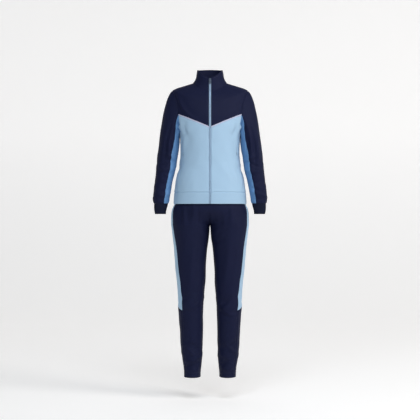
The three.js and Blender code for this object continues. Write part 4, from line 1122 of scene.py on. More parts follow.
def cloth_material(name, colour, worn, roughness=0.62, sheen=0.03, tint=None, bump=0.06, specular=0.14):
    """Fine polyester knit. Its colour drifts a little to a worn one, and it has a fuzz sheen. Its bump
    is the knit's wales and courses on the cloth's own map, with faint crumples over them."""
    shader = Shader(name)
    across, along = shader.weave_map()
    wale = (across * (math.pi / KNIT_WALE)).sine().size()
    course = (along * (2 * math.pi / KNIT_COURSE) + wale * 1.8).sine()
    crumple = shader.noise(shader.solid, 26.0, 4.0, 0.55)
    fuzz = shader.noise(shader.solid, 900.0, 2.0, 0.6)
    drift = shader.noise(shader.solid, 7.0, 3.0, 0.6)
    height = wale * 0.00012 + course * 0.00004 + crumple * 0.0035 + fuzz * 0.00008
    return shader.finish(
        Base_Color=shader.mix(drift * 0.55 + fuzz * 0.45, linear(*colour), linear(*worn)),
        Roughness=drift * 0.14 + (roughness - 0.07),
        Sheen_Weight=sheen,
        Sheen_Roughness=0.4,
        Sheen_Tint=linear(*(tint or colour)),
        Specular_IOR_Level=specular,
        Normal=shader.bump(height, bump * 4),
    )


def rib_material(name, colour, worn):
    """Matt rib knit: the ribs are shaped, and the bump is the yarn's own stitches."""
    shader = Shader(name)
    across, along = shader.weave_map()
    leg = (across * (math.pi / RIB_WALE)).sine().size()
    loop = (along * (2 * math.pi / RIB_COURSE) + leg * 2.2).sine()
    fuzz = shader.noise(shader.solid, 1100.0, 3.0, 0.6)
    height = leg * 0.00022 + loop * 0.00012 + fuzz * 0.0002
    return shader.finish(
        Base_Color=shader.mix(fuzz, linear(*colour), linear(*worn)),
        Roughness=fuzz * 0.2 + 0.7,
        Sheen_Weight=0.04,
        Sheen_Roughness=0.5,
        Sheen_Tint=linear(*worn),
        Specular_IOR_Level=0.1,
        Normal=shader.bump(height, 0.35),
    )


def thread_material(name, colour, worn):
    """Twisted polyester thread: slanting ply bump on a low gloss."""
    shader = Shader(name)
    settings = {"wave_type": "BANDS", "bands_direction": "DIAGONAL"}
    wave = shader.node("ShaderNodeTexWave", settings, {"Vector": shader.solid, "Scale": 900.0})
    twist = shader.value(wave, "Fac")
    return shader.finish(
        Base_Color=shader.mix(twist, linear(*colour), linear(*worn)),
        Roughness=twist * 0.1 + 0.45,
        Normal=shader.bump(twist, 0.3, 0.0002),
    )


def tape_material(name, colour, worn):
    """Woven zip tape: picks across the tape whose line zigzags, on the tape's own map."""
    shader = Shader(name)
    across, along = shader.weave_map()
    zigzag = (across * (2 * math.pi / TAPE_ZIGZAG)).sine() * 1.6
    weave = (along * (2 * math.pi / TAPE_PICK) + zigzag).sine()
    fuzz = shader.noise(shader.solid, 800.0, 2.0, 0.5)
    return shader.finish(
        Base_Color=shader.mix(weave * 0.3 + fuzz * 0.7, linear(*colour), linear(*worn)),
        Roughness=fuzz * 0.15 + 0.55,
        Normal=shader.bump(weave * 0.00006 + fuzz * 0.00005, 0.5),
    )


def metal_material(name, colour, worn):
    """Satin grey metal with fine brushing and slightly brighter rubbed places."""
    shader = Shader(name)
    stretch = shader.node("ShaderNodeMapping", None, {"Vector": shader.solid, "Scale": (400, 400, 60)})
    brush = shader.noise(shader.value(stretch), 8.0, 3.0, 0.6)
    rub = shader.noise(shader.solid, 300.0, 2.0, 0.5)
    return shader.finish(
        Base_Color=shader.mix(rub, linear(*colour), linear(*worn)),
        Metallic=0.85,
        Roughness=brush * 0.15 + 0.3,
        Normal=shader.bump(brush, 0.15, 0.0003),
    )


def plastic_material(name, colour, worn):
    """Moulded coil: smooth plastic with faint flow marks."""
    shader = Shader(name)
    flow = shader.noise(shader.solid, 500.0, 2.0, 0.5)
    return shader.finish(
        Base_Color=shader.mix(flow, linear(*colour), linear(*worn)),
        Roughness=flow * 0.12 + 0.3,
        Coat_Weight=0.15,
        Normal=shader.bump(flow, 0.1, 0.0002),
    )


def stage_material():
    """Plain white studio paint with hardly any grain, lit a little from within so that shadows on it
    stay faint."""
    shader = Shader("studio_white")
    grain = shader.noise(shader.solid, 40.0, 2.0, 0.5)
    return shader.finish(
        Base_Color=shader.mix(grain, (0.9, 0.9, 0.905, 1), (0.915, 0.915, 0.92, 1)),
        Roughness=0.9,
        Specular_IOR_Level=0.1,
        Emission_Color=(1.0, 0.94, 0.885, 1),
        Emission_Strength=0.225,
    )


NAVY = cloth_material("navy_jersey", (16, 20, 45), (22, 27, 56), tint=(110, 120, 190), specular=0.1)
LIGHT_BLUE = cloth_material(
    "light_blue_jersey", (154, 183, 207), (162, 190, 213), sheen=0.3, tint=(200, 220, 235), specular=0.2
)
MID_BLUE = cloth_material("mid_blue_jersey", (86, 126, 172), (96, 137, 183), specular=0.2)
PIPING = cloth_material("piping_satin", (178, 180, 203), (190, 191, 212), roughness=0.45, bump=0.03)
NAVY_RIB = rib_material("navy_rib", (16, 20, 38), (26, 31, 52))
NAVY_THREAD = thread_material("navy_thread", (26, 31, 56), (36, 42, 70))
GREY_THREAD = thread_material("grey_blue_thread", (84, 104, 122), (98, 118, 136))
LIGHT_THREAD = thread_material("light_blue_thread", (156, 187, 214), (168, 198, 224))
TAPE = tape_material("zip_tape_weave", (136, 162, 188), (148, 174, 200))
COIL = plastic_material("zip_coil", (154, 180, 206), (168, 193, 218))
METAL = metal_material("grey_metal_satin", (66, 74, 88), (90, 98, 112))


# Pieces


def dress(thing, material, body="suit", replaces=()):
    """Gives a finished piece its material and its body, and hides the CAD nodes that it stands for."""
    thing.data.materials.clear()
    thing.data.materials.append(material)
    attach(thing, body)
    if replaces:
        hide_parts(*replaces)


def cloth(name, nodes, material, slot, flat, area, held="stretched", **options):
    """A cloth panel that replaces its CAD nodes."""
    thing = cloth_panel(name, **options)
    dress(thing, material, replaces=nodes.split())


def front_edge_angle(table, level, distance):
    """Angle at which a ring is that far from the middle plane, near its front."""
    ring = table(level)
    return np.arcsin(np.clip(distance / (ring["half"] * (1 + ring["full"])), -1, 1))


def body_angle(part, level, back):
    """Angle of a place on the front or back: part 0 at the zip or the middle of the back, 1 at the
    side."""
    start = math.pi if back else front_edge_angle(BODY, level, ZIP_HALF_WIDTH)
    return start + part * (side_angle(level, back) - start)


def step_where(part, back, height_wanted):
    """The armhole step at which a line across the body has the wanted height, found by halving."""
    low, high = np.zeros_like(part), np.ones_like(part)
    for _ in range(HALVINGS):
        step = (low + high) / 2
        level = armhole_level(step)
        points = ring_points(BODY(level), level, body_angle(part, level, back))
        under = points[..., 2] < height_wanted(points[..., 0])
        low = np.where(under, step, low)
        high = np.where(under, high, step)
    return high


def yoke_seam_height(x):
    """Height of the front yoke's seam at a distance from the zip: a straight line."""
    return YOKE_POINT_HEIGHT + (YOKE_END_HEIGHT - YOKE_POINT_HEIGHT) * x / YOKE_END_X


def piping_foot_height(x):
    """Height of the piping's lower edge, where the light blue front ends."""
    return yoke_seam_height(x) - PIPING_WIDTH


def back_yoke_height(x):
    """Height of the back yoke's seam, which is level."""
    return np.full_like(x, BACK_YOKE_HEIGHT)


def lower_body(back, seam_height, armpit_row):
    """Places of a panel from the hem seam up to a line above the armpit."""

    def place(u, v):
        top = step_where(u, back, seam_height)
        below = HEM_SEAM_HEIGHT + (ARMPIT_HEIGHT - HEM_SEAM_HEIGHT) * v / armpit_row
        above = armhole_level(top * np.clip((v - armpit_row) / (1 - armpit_row), 0, 1))
        level = np.where(v <= armpit_row, below, above)
        return body_angle(u, level, back), level

    return place


def body_band(low_height, high_height):
    """Places of a narrow band of the front between two lines across the body."""

    def place(u, v):
        low = step_where(u, False, low_height)
        high = step_where(u, False, high_height)
        level = armhole_level(low + (high - low) * v)
        return body_angle(u, level, False), level

    return place


def upper_body(back, seam_height, tip_row):
    """Places of a yoke, from its seam over the shoulder to the neckline."""

    def place(u, v):
        low = step_where(u, back, seam_height)
        below = armhole_level(low + (1 - low) * np.clip(v / tip_row, 0, 1))
        up = np.clip((v - tip_row) / (1 - tip_row), 0, 1)
        above = SHOULDER_TIP_HEIGHT + (NECK_HEIGHT - SHOULDER_TIP_HEIGHT) * up
        level = np.where(v <= tip_row, below, above)
        return body_angle(u, level, back), level

    return place


def whole_back(half_places):
    """Places of a back panel that runs from one side of the body to the other."""

    def place(u, v):
        angle, level = half_places(np.abs(2 * u - 1), v)
        return np.where(u < 0.5, angle, 2 * math.pi - angle), level

    return place


def open_ring(table, bottom, top, opening):
    """Places of a ring that is open at the zip, whose opening's half-width is opening(level)."""

    def place(u, v):
        level = bottom + (top - bottom) * v
        edge = front_edge_angle(table, level, opening(level))
        return edge + (2 * math.pi - 2 * edge) * u, level

    return place


def closed_ring(bottom, top):
    """Places of a ring that closes on itself."""

    def place(u, v):
        return 2 * math.pi * u, bottom + (top - bottom) * v

    return place


def signed(surface, side):
    """The body's surface for a panel that is worked out on the left and turned over for side -1."""

    def points_at(angle, level):
        return surface(side * angle, level) * (side, 1, 1)

    return points_at


def name_of(side):
    """The side's name in the names of pieces and nodes."""
    return "left" if side > 0 else "right"


def piping_bulge(v):
    """How far the piping stands up: half an ellipse across it."""
    return PIPING_HEIGHT * np.sqrt(np.clip(4 * v * (1 - v), 0, 1))


def make_fronts(side):
    """The light blue front, the piping and the yoke of one side."""
    label = name_of(side)
    surface = signed(body_points, side)
    cloth(
        f"front_{label}", f"jacket_front_{label}", LIGHT_BLUE, "light_blue_cloth",
        flat=(0.24, 0.36), area=0.0648,
        surface=surface, place=lower_body(False, piping_foot_height, FRONT_ARMPIT_ROW), side=side,
        u=fractions(215), v=fractions(330), edges=(SEAM, FLAT_SEAM, ZIP_EDGE, JOIN),
    )
    cloth(
        f"piping_{label}", f"jacket_piping_{label}", PIPING, "piping_cloth",
        flat=(0.175, 0.01), area=0.0012,
        surface=surface, place=body_band(piping_foot_height, yoke_seam_height), side=side,
        u=fractions(170), v=np.linspace(0, 1, 13), edges=(FLAT_SEAM, FLAT_SEAM, HEM, JOIN), lift=piping_bulge,
    )
    cloth(
        f"front_yoke_{label}", f"jacket_front_yoke_{label}", NAVY, "navy_cloth",
        flat=(0.2, 0.25), area=0.0303,
        surface=surface, place=upper_body(False, yoke_seam_height, FRONT_YOKE_TIP_ROW), side=side,
        u=fractions(170), v=fractions(230), edges=(FLAT_SEAM, JOIN, ZIP_EDGE, JOIN),
    )


def make_back():
    """The jacket's back and its yoke."""
    cloth(
        "back", "jacket_back", LIGHT_BLUE, "light_blue_cloth",
        flat=(0.46, 0.38), area=0.138,
        surface=body_points, place=whole_back(lower_body(True, back_yoke_height, BACK_ARMPIT_ROW)),
        u=fractions(440), v=fractions(370), edges=(SEAM, SEAM, JOIN, JOIN),
    )
    cloth(
        "back_yoke", "jacket_back_yoke", NAVY, "navy_cloth",
        flat=(0.4, 0.2), area=0.0575,
        surface=body_points, place=whole_back(upper_body(True, back_yoke_height, BACK_YOKE_TIP_ROW)),
        u=fractions(390), v=fractions(190), edges=(SEAM, JOIN, JOIN, JOIN),
    )


def collar_opening(level):
    """Half-width of the collar's opening: the zip's, which widens to a small notch at the top."""
    up = np.clip((level - COLLAR_TOP_HEIGHT + COLLAR_NOTCH_DEPTH) / COLLAR_NOTCH_DEPTH, 0, 1)
    return ZIP_HALF_WIDTH + (COLLAR_NOTCH_HALF_WIDTH - ZIP_HALF_WIDTH) * up * up


def make_bands():
    """Hem band and collar."""
    cloth(
        "hem_band", "jacket_hem_band", LIGHT_BLUE, "light_blue_cloth",
        flat=(0.97, 0.053), area=0.0499, thickness=DOUBLE_CLOTH,
        surface=body_points, place=open_ring(BODY, HEM_HEIGHT, HEM_SEAM_HEIGHT, lambda level: ZIP_HALF_WIDTH),
        u=fractions(960), v=fractions(53), edges=(ROLLED, SEAM, ROLLED, ROLLED),
    )
    place = open_ring(COLLAR, NECK_HEIGHT - COLLAR_TUCK, COLLAR_TOP_HEIGHT, collar_opening)
    cloth(
        "collar", "jacket_collar", NAVY, "navy_cloth",
        flat=(0.44, 0.075), area=0.0266, thickness=DOUBLE_CLOTH,
        surface=collar_points, place=place,
        u=fractions(400), v=fractions(66), edges=(JOIN, ROLLED, ROLLED, ROLLED),
    )


def sleeve_seam_angle(place, back):
    """Angle of the sleeve's front or back seam: nothing at the armhole, it settles on the cap and
    eases to the arm's own angle at the biceps."""
    settled = np.minimum((1 - np.maximum(place, 0)) / SLEEVE_SEAM_SETTLES, 1)
    turn = np.clip((place + SLEEVE_SEAM_EASES) / (2 * SLEEVE_SEAM_EASES), 0, 1)
    on_cap = turn * turn * (3 - 2 * turn)
    whole = SLEEVE_SEAM_ARM_ANGLE + (SLEEVE_SEAM_CAP_ANGLE - SLEEVE_SEAM_ARM_ANGLE) * on_cap
    angle = whole * settled * (2 - settled)
    return math.pi + angle if back else -angle


def sleeve_places(under):
    """Places of a sleeve panel between its front and back seams, from the cuff up."""

    def place(u, v):
        down = 1 - v
        on_cap = 1 - down / SLEEVE_CAP_PART
        below = -(down - SLEEVE_CAP_PART) / (1 - SLEEVE_CAP_PART)
        position = np.where(down <= SLEEVE_CAP_PART, on_cap, below)
        front, back = sleeve_seam_angle(position, False), sleeve_seam_angle(position, True)
        start, end = (back, front + 2 * math.pi) if under else (front, back)
        return start + (end - start) * u, position

    return place


def cuff_points(angle, height):
    """The cuff's outer surface: an ellipse with ribs and a little unevenness, which gives way to a
    plain edge sunk under the sleeve's end."""
    ring = CUFF(height)
    rib = 0.7 * (np.abs(np.sin(CUFF_RIBS / 2 * angle)) - 0.6)
    uneven = 0.5 * np.sin(3 * angle + height / 9) + 0.35 * np.sin(5 * angle - height / 13)
    under = np.clip((height - SLEEVE_SEAM_HEIGHT + 3) / 5, 0, 1)
    grow = 1 + ((rib + uneven) * (1 - under) - 1.2 * under**2) / ring["half"]
    x = ring["across"] + ring["half"] * grow * np.sin(angle)
    y = ring["ahead"] - ring["depth"] * grow * np.cos(angle)
    return stacked(x, y, height)


def make_sleeve(side):
    """A sleeve with its cuff."""
    label = name_of(side)
    surface = sleeve_surface(side)
    cloth(
        f"upper_sleeve_{label}", f"sleeve_upper_{label}", NAVY, "navy_cloth",
        flat=(0.25, 0.53), area=0.1,
        surface=surface, place=sleeve_places(False), side=side,
        u=fractions(190), v=fractions(500), edges=(JOIN, JOIN, SEAM, SEAM),
    )
    cloth(
        f"under_sleeve_{label}", f"sleeve_under_{label} sleeve_under_lower_{label}", MID_BLUE,
        "mid_blue_cloth", flat=(0.14, 0.42), area=0.0442,
        surface=surface, place=sleeve_places(True), side=side,
        u=fractions(110), v=fractions(400), edges=(JOIN, JOIN, SEAM, SEAM),
    )
    cloth(
        f"cuff_{label}", f"sleeve_cuff_{label}", NAVY_RIB, "navy_knit",
        flat=(0.2, 0.052), area=0.0104, thickness=DOUBLE_CLOTH,
        surface=cuff_points, place=closed_ring(CUFF_BOTTOM_HEIGHT, CUFF_TOP_HEIGHT), side=side,
        u=np.linspace(0, 1, CUFF_RIBS * CUFF_RIB_POINTS + 1), v=fractions(50, 5.0),
        edges=(ROLLED, JOIN, None, None), closed=True,
    )


def strip_angle(height, end):
    """Angle from the leg's front or back to the side strip's seam: straight between its bends."""
    bends = [TROUSER_HEM_HEIGHT, end, CROTCH_HEIGHT, LEG_SPLIT_HEIGHT, TROUSER_TOP_HEIGHT]
    return np.radians(np.interp(height, bends, STRIP_DEGREES))


def middle_seam_angle(side, height, back):
    """Angle at which the trousers' surface meets the middle plane, found by halving, or the inseam's
    below the crotch."""
    surface = trouser_surface(side)
    inseam = 1.5 * math.pi if back else -0.5 * math.pi
    inner = np.full_like(height, inseam)
    outer = np.full_like(height, math.pi if back else 0.0)
    for _ in range(HALVINGS):
        angle = (inner + outer) / 2
        crossed = surface(angle, height)[..., 0] < 0
        inner = np.where(crossed, angle, inner)
        outer = np.where(crossed, outer, angle)
    return np.where(height <= CROTCH_HEIGHT, inseam, outer)


def trouser_height(v):
    """Height of a row: close together above the crotch, where the two legs part."""
    below = np.interp(v, [0, CROTCH_ROW], [TROUSER_HEM_HEIGHT, CROTCH_HEIGHT])
    up = np.clip((v - CROTCH_ROW) / (SPLIT_ROW - CROTCH_ROW), 0, 1)
    split = CROTCH_HEIGHT + (LEG_SPLIT_HEIGHT - CROTCH_HEIGHT) * (1 - np.cos(up * math.pi / 2))
    rest = np.clip((v - SPLIT_ROW) / (1 - SPLIT_ROW), 0, 1)
    above = LEG_SPLIT_HEIGHT + (TROUSER_TOP_HEIGHT - LEG_SPLIT_HEIGHT) * rest
    return np.where(v <= CROTCH_ROW, below, np.where(v <= SPLIT_ROW, split, above))


def trouser_places(side, back):
    """Places of a trouser front or back, from the middle seam and inseam to the side panel."""
    end = STRIP_BACK_END_HEIGHT if back else STRIP_FRONT_END_HEIGHT

    def place(u, v):
        height = trouser_height(v[:, :1])
        seam = middle_seam_angle(side, height, back)
        strip = strip_angle(height, end)
        start, stop = (math.pi - strip, seam) if back else (seam, strip)
        return start + (stop - start) * u, np.broadcast_to(height, u.shape)

    return place


def side_places(lower):
    """Places of the side strip, or of the navy panel below its slanted end."""

    def place(u, v):
        end = STRIP_FRONT_END_HEIGHT + (STRIP_BACK_END_HEIGHT - STRIP_FRONT_END_HEIGHT) * u
        low, high = (TROUSER_HEM_HEIGHT, end) if lower else (end, TROUSER_TOP_HEIGHT)
        height = low + (high - low) * v
        front = strip_angle(height, STRIP_FRONT_END_HEIGHT)
        back = math.pi - strip_angle(height, STRIP_BACK_END_HEIGHT)
        return front + (back - front) * u, height

    return place


def make_trouser_leg(side):
    """One trouser leg with its half of the seat."""
    label = name_of(side)
    surface = trouser_surface(side)
    for back in (False, True):
        part = "back" if back else "front"
        middle, outer = (SEAM, JOIN) if back else (JOIN, SEAM)
        cloth(
            f"leg_{part}_{label}", f"trouser_{part}_{label}", NAVY, "navy_cloth",
            flat=(0.3, 0.93) if back else (0.27, 0.9), area=0.1457 if back else 0.1465,
            surface=surface, place=trouser_places(side, back), side=side,
            u=fractions(170), v=fractions(880), edges=(HEM, JOIN, middle, outer),
        )
    cloth(
        f"side_strip_{label}", f"trouser_side_strip_{label}", LIGHT_BLUE, "light_blue_cloth",
        flat=(0.12, 0.56), area=0.0501,
        surface=surface, place=side_places(False), side=side,
        u=fractions(75), v=fractions(550), edges=(SEAM, JOIN, SEAM, SEAM),
    )
    cloth(
        f"side_lower_{label}", f"trouser_side_lower_{label}", NAVY, "navy_cloth",
        flat=(0.12, 0.34), area=0.0297,
        surface=surface, place=side_places(True), side=side,
        u=fractions(90), v=fractions(325), edges=(HEM, SEAM, SEAM, SEAM),
    )


def make_waistband():
    """The trousers' elastic waistband, under the jacket."""
    cloth(
        "waistband", "trouser_waistband", NAVY_RIB, "navy_knit",
        flat=(0.92, 0.04), held="gathered", area=0.0368, thickness=DOUBLE_CLOTH,
        surface=waistband_points, place=closed_ring(TROUSER_TOP_HEIGHT, WAISTBAND_TOP_HEIGHT),
        u=np.linspace(0, 1, WAISTBAND_COLUMNS + 1), v=fractions(40, 3.0),
        edges=(JOIN, ROLLED, None, None), closed=True,
    )


# Zip


def zip_line():
    """The middle of the jacket's front from the hem to behind the slider, with its outward normals."""
    body_levels = np.arange(HEM_HEIGHT, NECK_HEIGHT + 1e-6, ZIP_STEP)
    collar_levels = np.linspace(NECK_HEIGHT + COLLAR_FOOT_RISE, COLLAR_TOP_HEIGHT, 20)
    parts = []
    for table, levels in ((BODY, body_levels), (COLLAR, collar_levels)):
        parts.append(ring_points(table(levels), levels, np.zeros_like(levels)))
    path = np.concatenate(parts)
    path = path[path[:, 2] < ZIP_TOP_HEIGHT]
    return path, np.cross([1.0, 0, 0], unit(np.gradient(path, axis=0)))


def make_zip():
    """Two woven tapes and the closed row of interlocking teeth."""
    path, normals = zip_line()
    for side in (1, -1):
        label = name_of(side)
        outer = path[:, None] + normals[:, None] * TAPE_RISE[:, None]
        outer[..., 0] = TAPE_ACROSS
        inner = outer - normals[:, None] * TAPE_THICKNESS
        run = lengths_along(outer, 0)
        uv = np.stack([np.broadcast_to(TAPE_ACROSS, run.shape), run], -1) * MM
        tape = wall(f"tape_{label}", outer, inner, uv, False, side)
        dress(tape, TAPE, replaces=(f"zip_tape_{label}",))
    run = run_of(path)
    distances = np.arange(TOOTH_PITCH, run[-1] - TOOTH_PITCH / 2, TOOTH_PITCH / 2)
    points = along_path(distances, run, path)
    up = unit(np.gradient(points, axis=0))
    out = along_path(distances, run, normals)
    sideways = np.where(np.arange(len(distances)) % 2 == 0, 1.0, -1.0)[:, None] * (1.0, 0, 0)
    centres = points + sideways * TOOTH_SHIFT + out * TOOTH_RISE
    wide, tall, deep = TOOTH_HALF_SIZES
    teeth = beads("zip_teeth_row", centres, sideways * wide, up * tall, out * deep, ring=8, stations=3)
    dress(teeth, COIL, replaces=("zip_teeth",))


def ring_faces(rows, count, start=0, wrap=False):
    """Quads between rings of count points that follow one another from point start on. wrap: the
    last ring is joined to the first."""
    index = start + np.arange(rows * count).reshape(rows, count)
    low = index if wrap else index[:-1]
    high = np.roll(index, -1, axis=0) if wrap else index[1:]
    return np.stack([low, np.roll(low, -1, 1), np.roll(high, -1, 1), high], -1).reshape(-1, 4).tolist()


def rounded_plate(outline, front, back, bevel):
    """A plate in the XZ plane with bevelled rims: its outline, points (x, z) in order, is shrunk
    towards its middle at the faces and full between them, and each face is closed at a pole."""
    centre = outline.mean(axis=0)
    away = outline - centre
    rings = []
    for y, shrink in (
        (front, bevel),
        (front + bevel * 0.4, bevel * 0.35),
        (front + bevel, 0),
        (back - bevel, 0),
        (back - bevel * 0.4, bevel * 0.35),
        (back, bevel),
    ):
        ring = centre + away * (1 - shrink / np.linalg.norm(away, axis=1, keepdims=True))
        rings.append(stacked(ring[:, 0], y, ring[:, 1]))
    poles = [[centre[0], front, centre[1]], [centre[0], back, centre[1]]]
    points = np.concatenate([*rings, poles])
    count = len(outline)
    first = np.arange(count)
    after = np.roll(first, -1)
    last = (len(rings) - 1) * count
    pole = np.full(count, len(points) - 2)
    faces = ring_faces(len(rings), count)
    faces += np.stack([after, first, pole], -1).tolist()
    faces += np.stack([last + first, last + after, pole + 1], -1).tolist()
    return points, faces


def outward_mesh(name, points, faces):
    """A closed mesh whose faces are turned to point outwards."""
    thing = add_mesh(name, to_frame(points), faces)
    work = bmesh.new()
    work.from_mesh(thing.data)
    bmesh.ops.recalc_face_normals(work, faces=work.faces)
    work.to_mesh(thing.data)
    work.free()
    return thing


def superellipse(half_width, half_height, power, count, middle):
    """An outline (x, z) between an ellipse and a rectangle: |x/a|^power + |z/b|^power = 1."""
    turn = np.linspace(0, 2 * math.pi, count, endpoint=False)
    c, s = np.cos(turn), np.sin(turn)
    x = half_width * np.sign(c) * np.abs(c) ** (2 / power)
    z = half_height * np.sign(s) * np.abs(s) ** (2 / power)
    return np.stack([x, z + middle], -1)


def box_of(node):
    """A node's lowest and highest corners, in millimetres above the floor."""
    return [np.array(corner) / MM + (0, 0, ORIGIN_HEIGHT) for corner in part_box(node)]


def bridge_rings(front):
    """The slider's bridge, a flat tube along an arch that stands out from the slider's face."""
    turn = np.linspace(0, 2 * math.pi, 12, endpoint=False)
    arch = np.linspace(-math.pi / 2, math.pi / 2, 17)
    y = front + BRIDGE_SINK - BRIDGE_REACH * np.cos(arch) ** BRIDGE_SQUARENESS
    path = stacked(0.0, y, SLIDER_MIDDLE_HEIGHT + BRIDGE_HALF_HEIGHT * np.sin(arch))
    out = np.cross(unit(np.gradient(path, axis=0)), [1.0, 0, 0])
    sideways = BRIDGE_HALF_WIDTH * np.cos(turn)[:, None] * (1.0, 0, 0)
    return path[:, None] + sideways + BRIDGE_HALF_DEPTH * np.sin(turn)[:, None] * out[:, None]


def make_slider():
    """The slider's body with its bridge."""
    back = box_of("zip_slider")[1][1]
    front = back - SLIDER_DEPTH
    outline = superellipse(
        SLIDER_HALF_WIDTH, SLIDER_HALF_HEIGHT, SLIDER_CORNERS, SLIDER_POINTS, SLIDER_MIDDLE_HEIGHT
    )
    below = np.clip((SLIDER_MIDDLE_HEIGHT - outline[:, 1]) / SLIDER_HALF_HEIGHT, 0, 1)
    outline[:, 0] *= 1 - SLIDER_TAPER * below**2
    points, faces = rounded_plate(outline, front, back, SLIDER_BEVEL)
    bridge = bridge_rings(front)
    rows, count = bridge.shape[:2]
    start = len(points)
    last = start + (rows - 1) * count
    faces += ring_faces(rows, count, start)
    faces += [range(start, start + count), range(last + count - 1, last - 1, -1)]
    slider = outward_mesh("slider", np.concatenate([points, bridge.reshape(-1, 3)]), faces)
    dress(slider, METAL, replaces=("zip_slider",))


def make_pull_tab():
    """The pull tab that hangs from the bridge: a section carried round its window."""
    low, high = box_of("zip_pull_tab")
    middle = (low + high) / 2
    half = (high - low) / 2
    outer = superellipse(half[0], half[2], TAB_CORNERS, TAB_POINTS, middle[2])
    outer[:, 0] *= 1 - TAB_TAPER * np.clip((outer[:, 1] - middle[2]) / half[2], 0, 1)
    eye = high[2] - TAB_RIM - TAB_WINDOW_HALF_SIZES[1]
    window = superellipse(*TAB_WINDOW_HALF_SIZES, TAB_WINDOW_CORNERS, TAB_POINTS, eye)
    turns, window_turns = [np.arctan2(ring[:, 1] - eye, ring[:, 0]) for ring in (outer, window)]
    inner = np.stack([np.interp(turns, window_turns, side, period=2 * math.pi) for side in window.T], -1)
    rings = []
    for share, rise in TAB_PROFILE:
        flat = inner + (outer - inner) * share
        rings.append(stacked(flat[:, 0], middle[1] + rise * half[1], flat[:, 1]))
    faces = ring_faces(len(rings), TAB_POINTS, wrap=True)
    tab = outward_mesh("pull_tab_plate", np.concatenate(rings), faces)
    dress(tab, METAL, body="pull_tab", replaces=("zip_pull_tab",))


# Stitching


def stitched(name, rows, material):
    """One piece of all the rows of stitches that share a thread."""
    thing = beads(name, *[np.concatenate(parts) for parts in zip(*rows)])
    dress(thing, material)


def tack(side):
    """A bar tack: short stitches side by side, one above the other, across the end of a pocket."""
    levels = TACK_HEIGHT + np.linspace(-TACK_LENGTH / 2, TACK_LENGTH / 2, TACK_BARS)
    path, normals = on_surface(signed(body_points, side), np.full_like(levels, TACK_ANGLE), levels, side)
    up = unit(np.gradient(path, axis=0))
    across = np.cross(up, normals) * TACK_WIDTH / 2
    return path + normals * TACK_RISE, across, up * TACK_BAR_HALF_HEIGHT, normals * TACK_BAR_HALF_DEPTH


def zip_row(side, start, end, above):
    """A row of stitches beside the zip, above the yoke's seam or below the piping."""
    levels = np.arange(start, end, ZIP_STEP)
    angle = front_edge_angle(BODY, levels, ZIP_ROW)
    heights = ring_points(BODY(levels), levels, angle)[..., 2]
    if above:
        keep = heights > yoke_seam_height(ZIP_ROW) + ROW_CLEARANCE
    else:
        keep = heights < piping_foot_height(ZIP_ROW) - ROW_CLEARANCE
    return stitch_bars(*on_surface(signed(body_points, side), angle[keep], levels[keep], side))


def yoke_row(side, shift):
    """A row of stitches that follows the front yoke's seam, shift above it."""
    u = np.linspace(0.06, 0.99, 90)
    level = armhole_level(step_where(u, False, lambda x: yoke_seam_height(x) + shift))
    return stitch_bars(*on_surface(signed(body_points, side), body_angle(u, level, False), level, side))


def round_row(surface, start, count, level):
    """A row of stitches round the body or collar, from one side of the zip to the other."""
    turns = np.linspace(start, 2 * math.pi - start, count)
    return stitch_bars(*on_surface(surface, turns, np.full_like(turns, level)))


def hem_row(side, height):
    """A row of stitches round a trouser leg."""
    turns = np.linspace(0, 2 * math.pi, 160)
    return stitch_bars(*on_surface(trouser_surface(side), turns, np.full_like(turns, height), side))


def make_stitching():
    """Top-stitching beside the zip, the V, the hem band, the collar and the trouser hems, and the
    bar tacks."""
    light, navy = [], []
    for side in (1, -1):
        light.append(zip_row(side, HEM_HEIGHT + 2, ZIP_ROW_LIGHT_TOP, above=False))
        navy.append(zip_row(side, ZIP_ROW_NAVY_FOOT, NECK_HEIGHT - 2, above=True))
        navy.append(yoke_row(side, YOKE_ROW))
        light.append(yoke_row(side, -PIPING_WIDTH - PIPING_ROW))
        navy += [hem_row(side, TROUSER_HEM_HEIGHT + distance) for distance in TROUSER_HEM_ROWS]
    edge = float(front_edge_angle(BODY, HEM_SEAM_HEIGHT, ZIP_HALF_WIDTH + 3))
    light.append(round_row(body_points, edge, 420, HEM_SEAM_HEIGHT + HEM_SEAM_ROW))
    for level in (NECK_HEIGHT + COLLAR_FOOT_ROW, COLLAR_TOP_HEIGHT - COLLAR_TOP_ROW):
        navy.append(round_row(collar_points, COLLAR_ROW_START, 260, level))
    stitched("stitches_light_blue", light, LIGHT_THREAD)
    stitched("stitches_grey", [tack(side) for side in (1, -1)], GREY_THREAD)
    stitched("stitches_navy", navy, NAVY_THREAD)


# Stage, light and camera


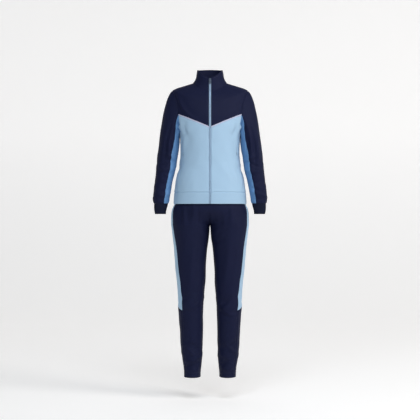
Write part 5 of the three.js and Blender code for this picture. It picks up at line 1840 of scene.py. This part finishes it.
def make_stage():
    """A pale floor that sweeps up into a backdrop: a flat run, a quarter circle and a wall."""
    floor = -ORIGIN_HEIGHT * MM
    turn = np.linspace(0, math.pi / 2, 24)
    sweep = STAGE_BEHIND + STAGE_BEND * np.sin(turn)
    y = np.concatenate([[STAGE_AHEAD, 0.0], sweep, [STAGE_BEHIND + STAGE_BEND]])
    z = np.concatenate([[floor, floor], floor + STAGE_BEND * (1 - np.cos(turn)), [STAGE_TOP]])
    points = stacked([-STAGE_HALF_WIDTH, STAGE_HALF_WIDTH], y[:, None], z[:, None]).reshape(-1, 3)
    faces = [(2 * i, 2 * i + 1, 2 * i + 3, 2 * i + 2) for i in range(len(y) - 1)]
    stage = add_mesh("studio_sweep", points, faces)
    stage.data.materials.append(stage_material())


def area_light(name, place, aim, size, watts, colour):
    """A large soft lamp at a place, turned towards an aim."""
    data = bpy.data.lights.new(name, "AREA")
    data.shape = "RECTANGLE"
    data.size, data.size_y = size
    data.energy = watts
    data.color = colour
    lamp = bpy.data.objects.new(name, data)
    bpy.context.scene.collection.objects.link(lamp)
    lamp.location = place
    lamp.visible_camera = False
    lamp.rotation_euler = (Vector(aim) - Vector(place)).to_track_quat("-Z", "Y").to_euler()


def make_light():
    """Soft pale surroundings, a warm key from the picture's right, cooler lamps in front of the suit
    and over it, and a lamp on each side of the backdrop."""
    world = bpy.data.worlds.new("studio")
    bpy.context.scene.world = world
    world.use_nodes = True
    background = world.node_tree.nodes["Background"]
    background.inputs["Color"].default_value = WORLD_COLOUR
    background.inputs["Strength"].default_value = WORLD_STRENGTH
    for lamp in LAMPS:
        area_light(*lamp)
    bpy.context.scene.view_settings.view_transform = "Standard"


def make_camera():
    """The photograph's own view: level, from straight ahead."""
    data = bpy.data.cameras.new("camera")
    data.lens = LENS
    data.sensor_width = SENSOR
    camera = bpy.data.objects.new("camera", data)
    bpy.context.scene.collection.objects.link(camera)
    camera.location = (0, -CAMERA_DISTANCE, (CAMERA_HEIGHT - ORIGIN_HEIGHT) * MM)
    camera.rotation_euler = (math.pi / 2, 0, 0)
    bpy.context.scene.camera = camera


make_camera()
make_light()
make_stage()
for suit_side in (1, -1):
    make_fronts(suit_side)
    make_sleeve(suit_side)
    make_trouser_leg(suit_side)
make_back()
make_bands()
make_waistband()
make_zip()
make_slider()
make_pull_tab()
make_stitching()
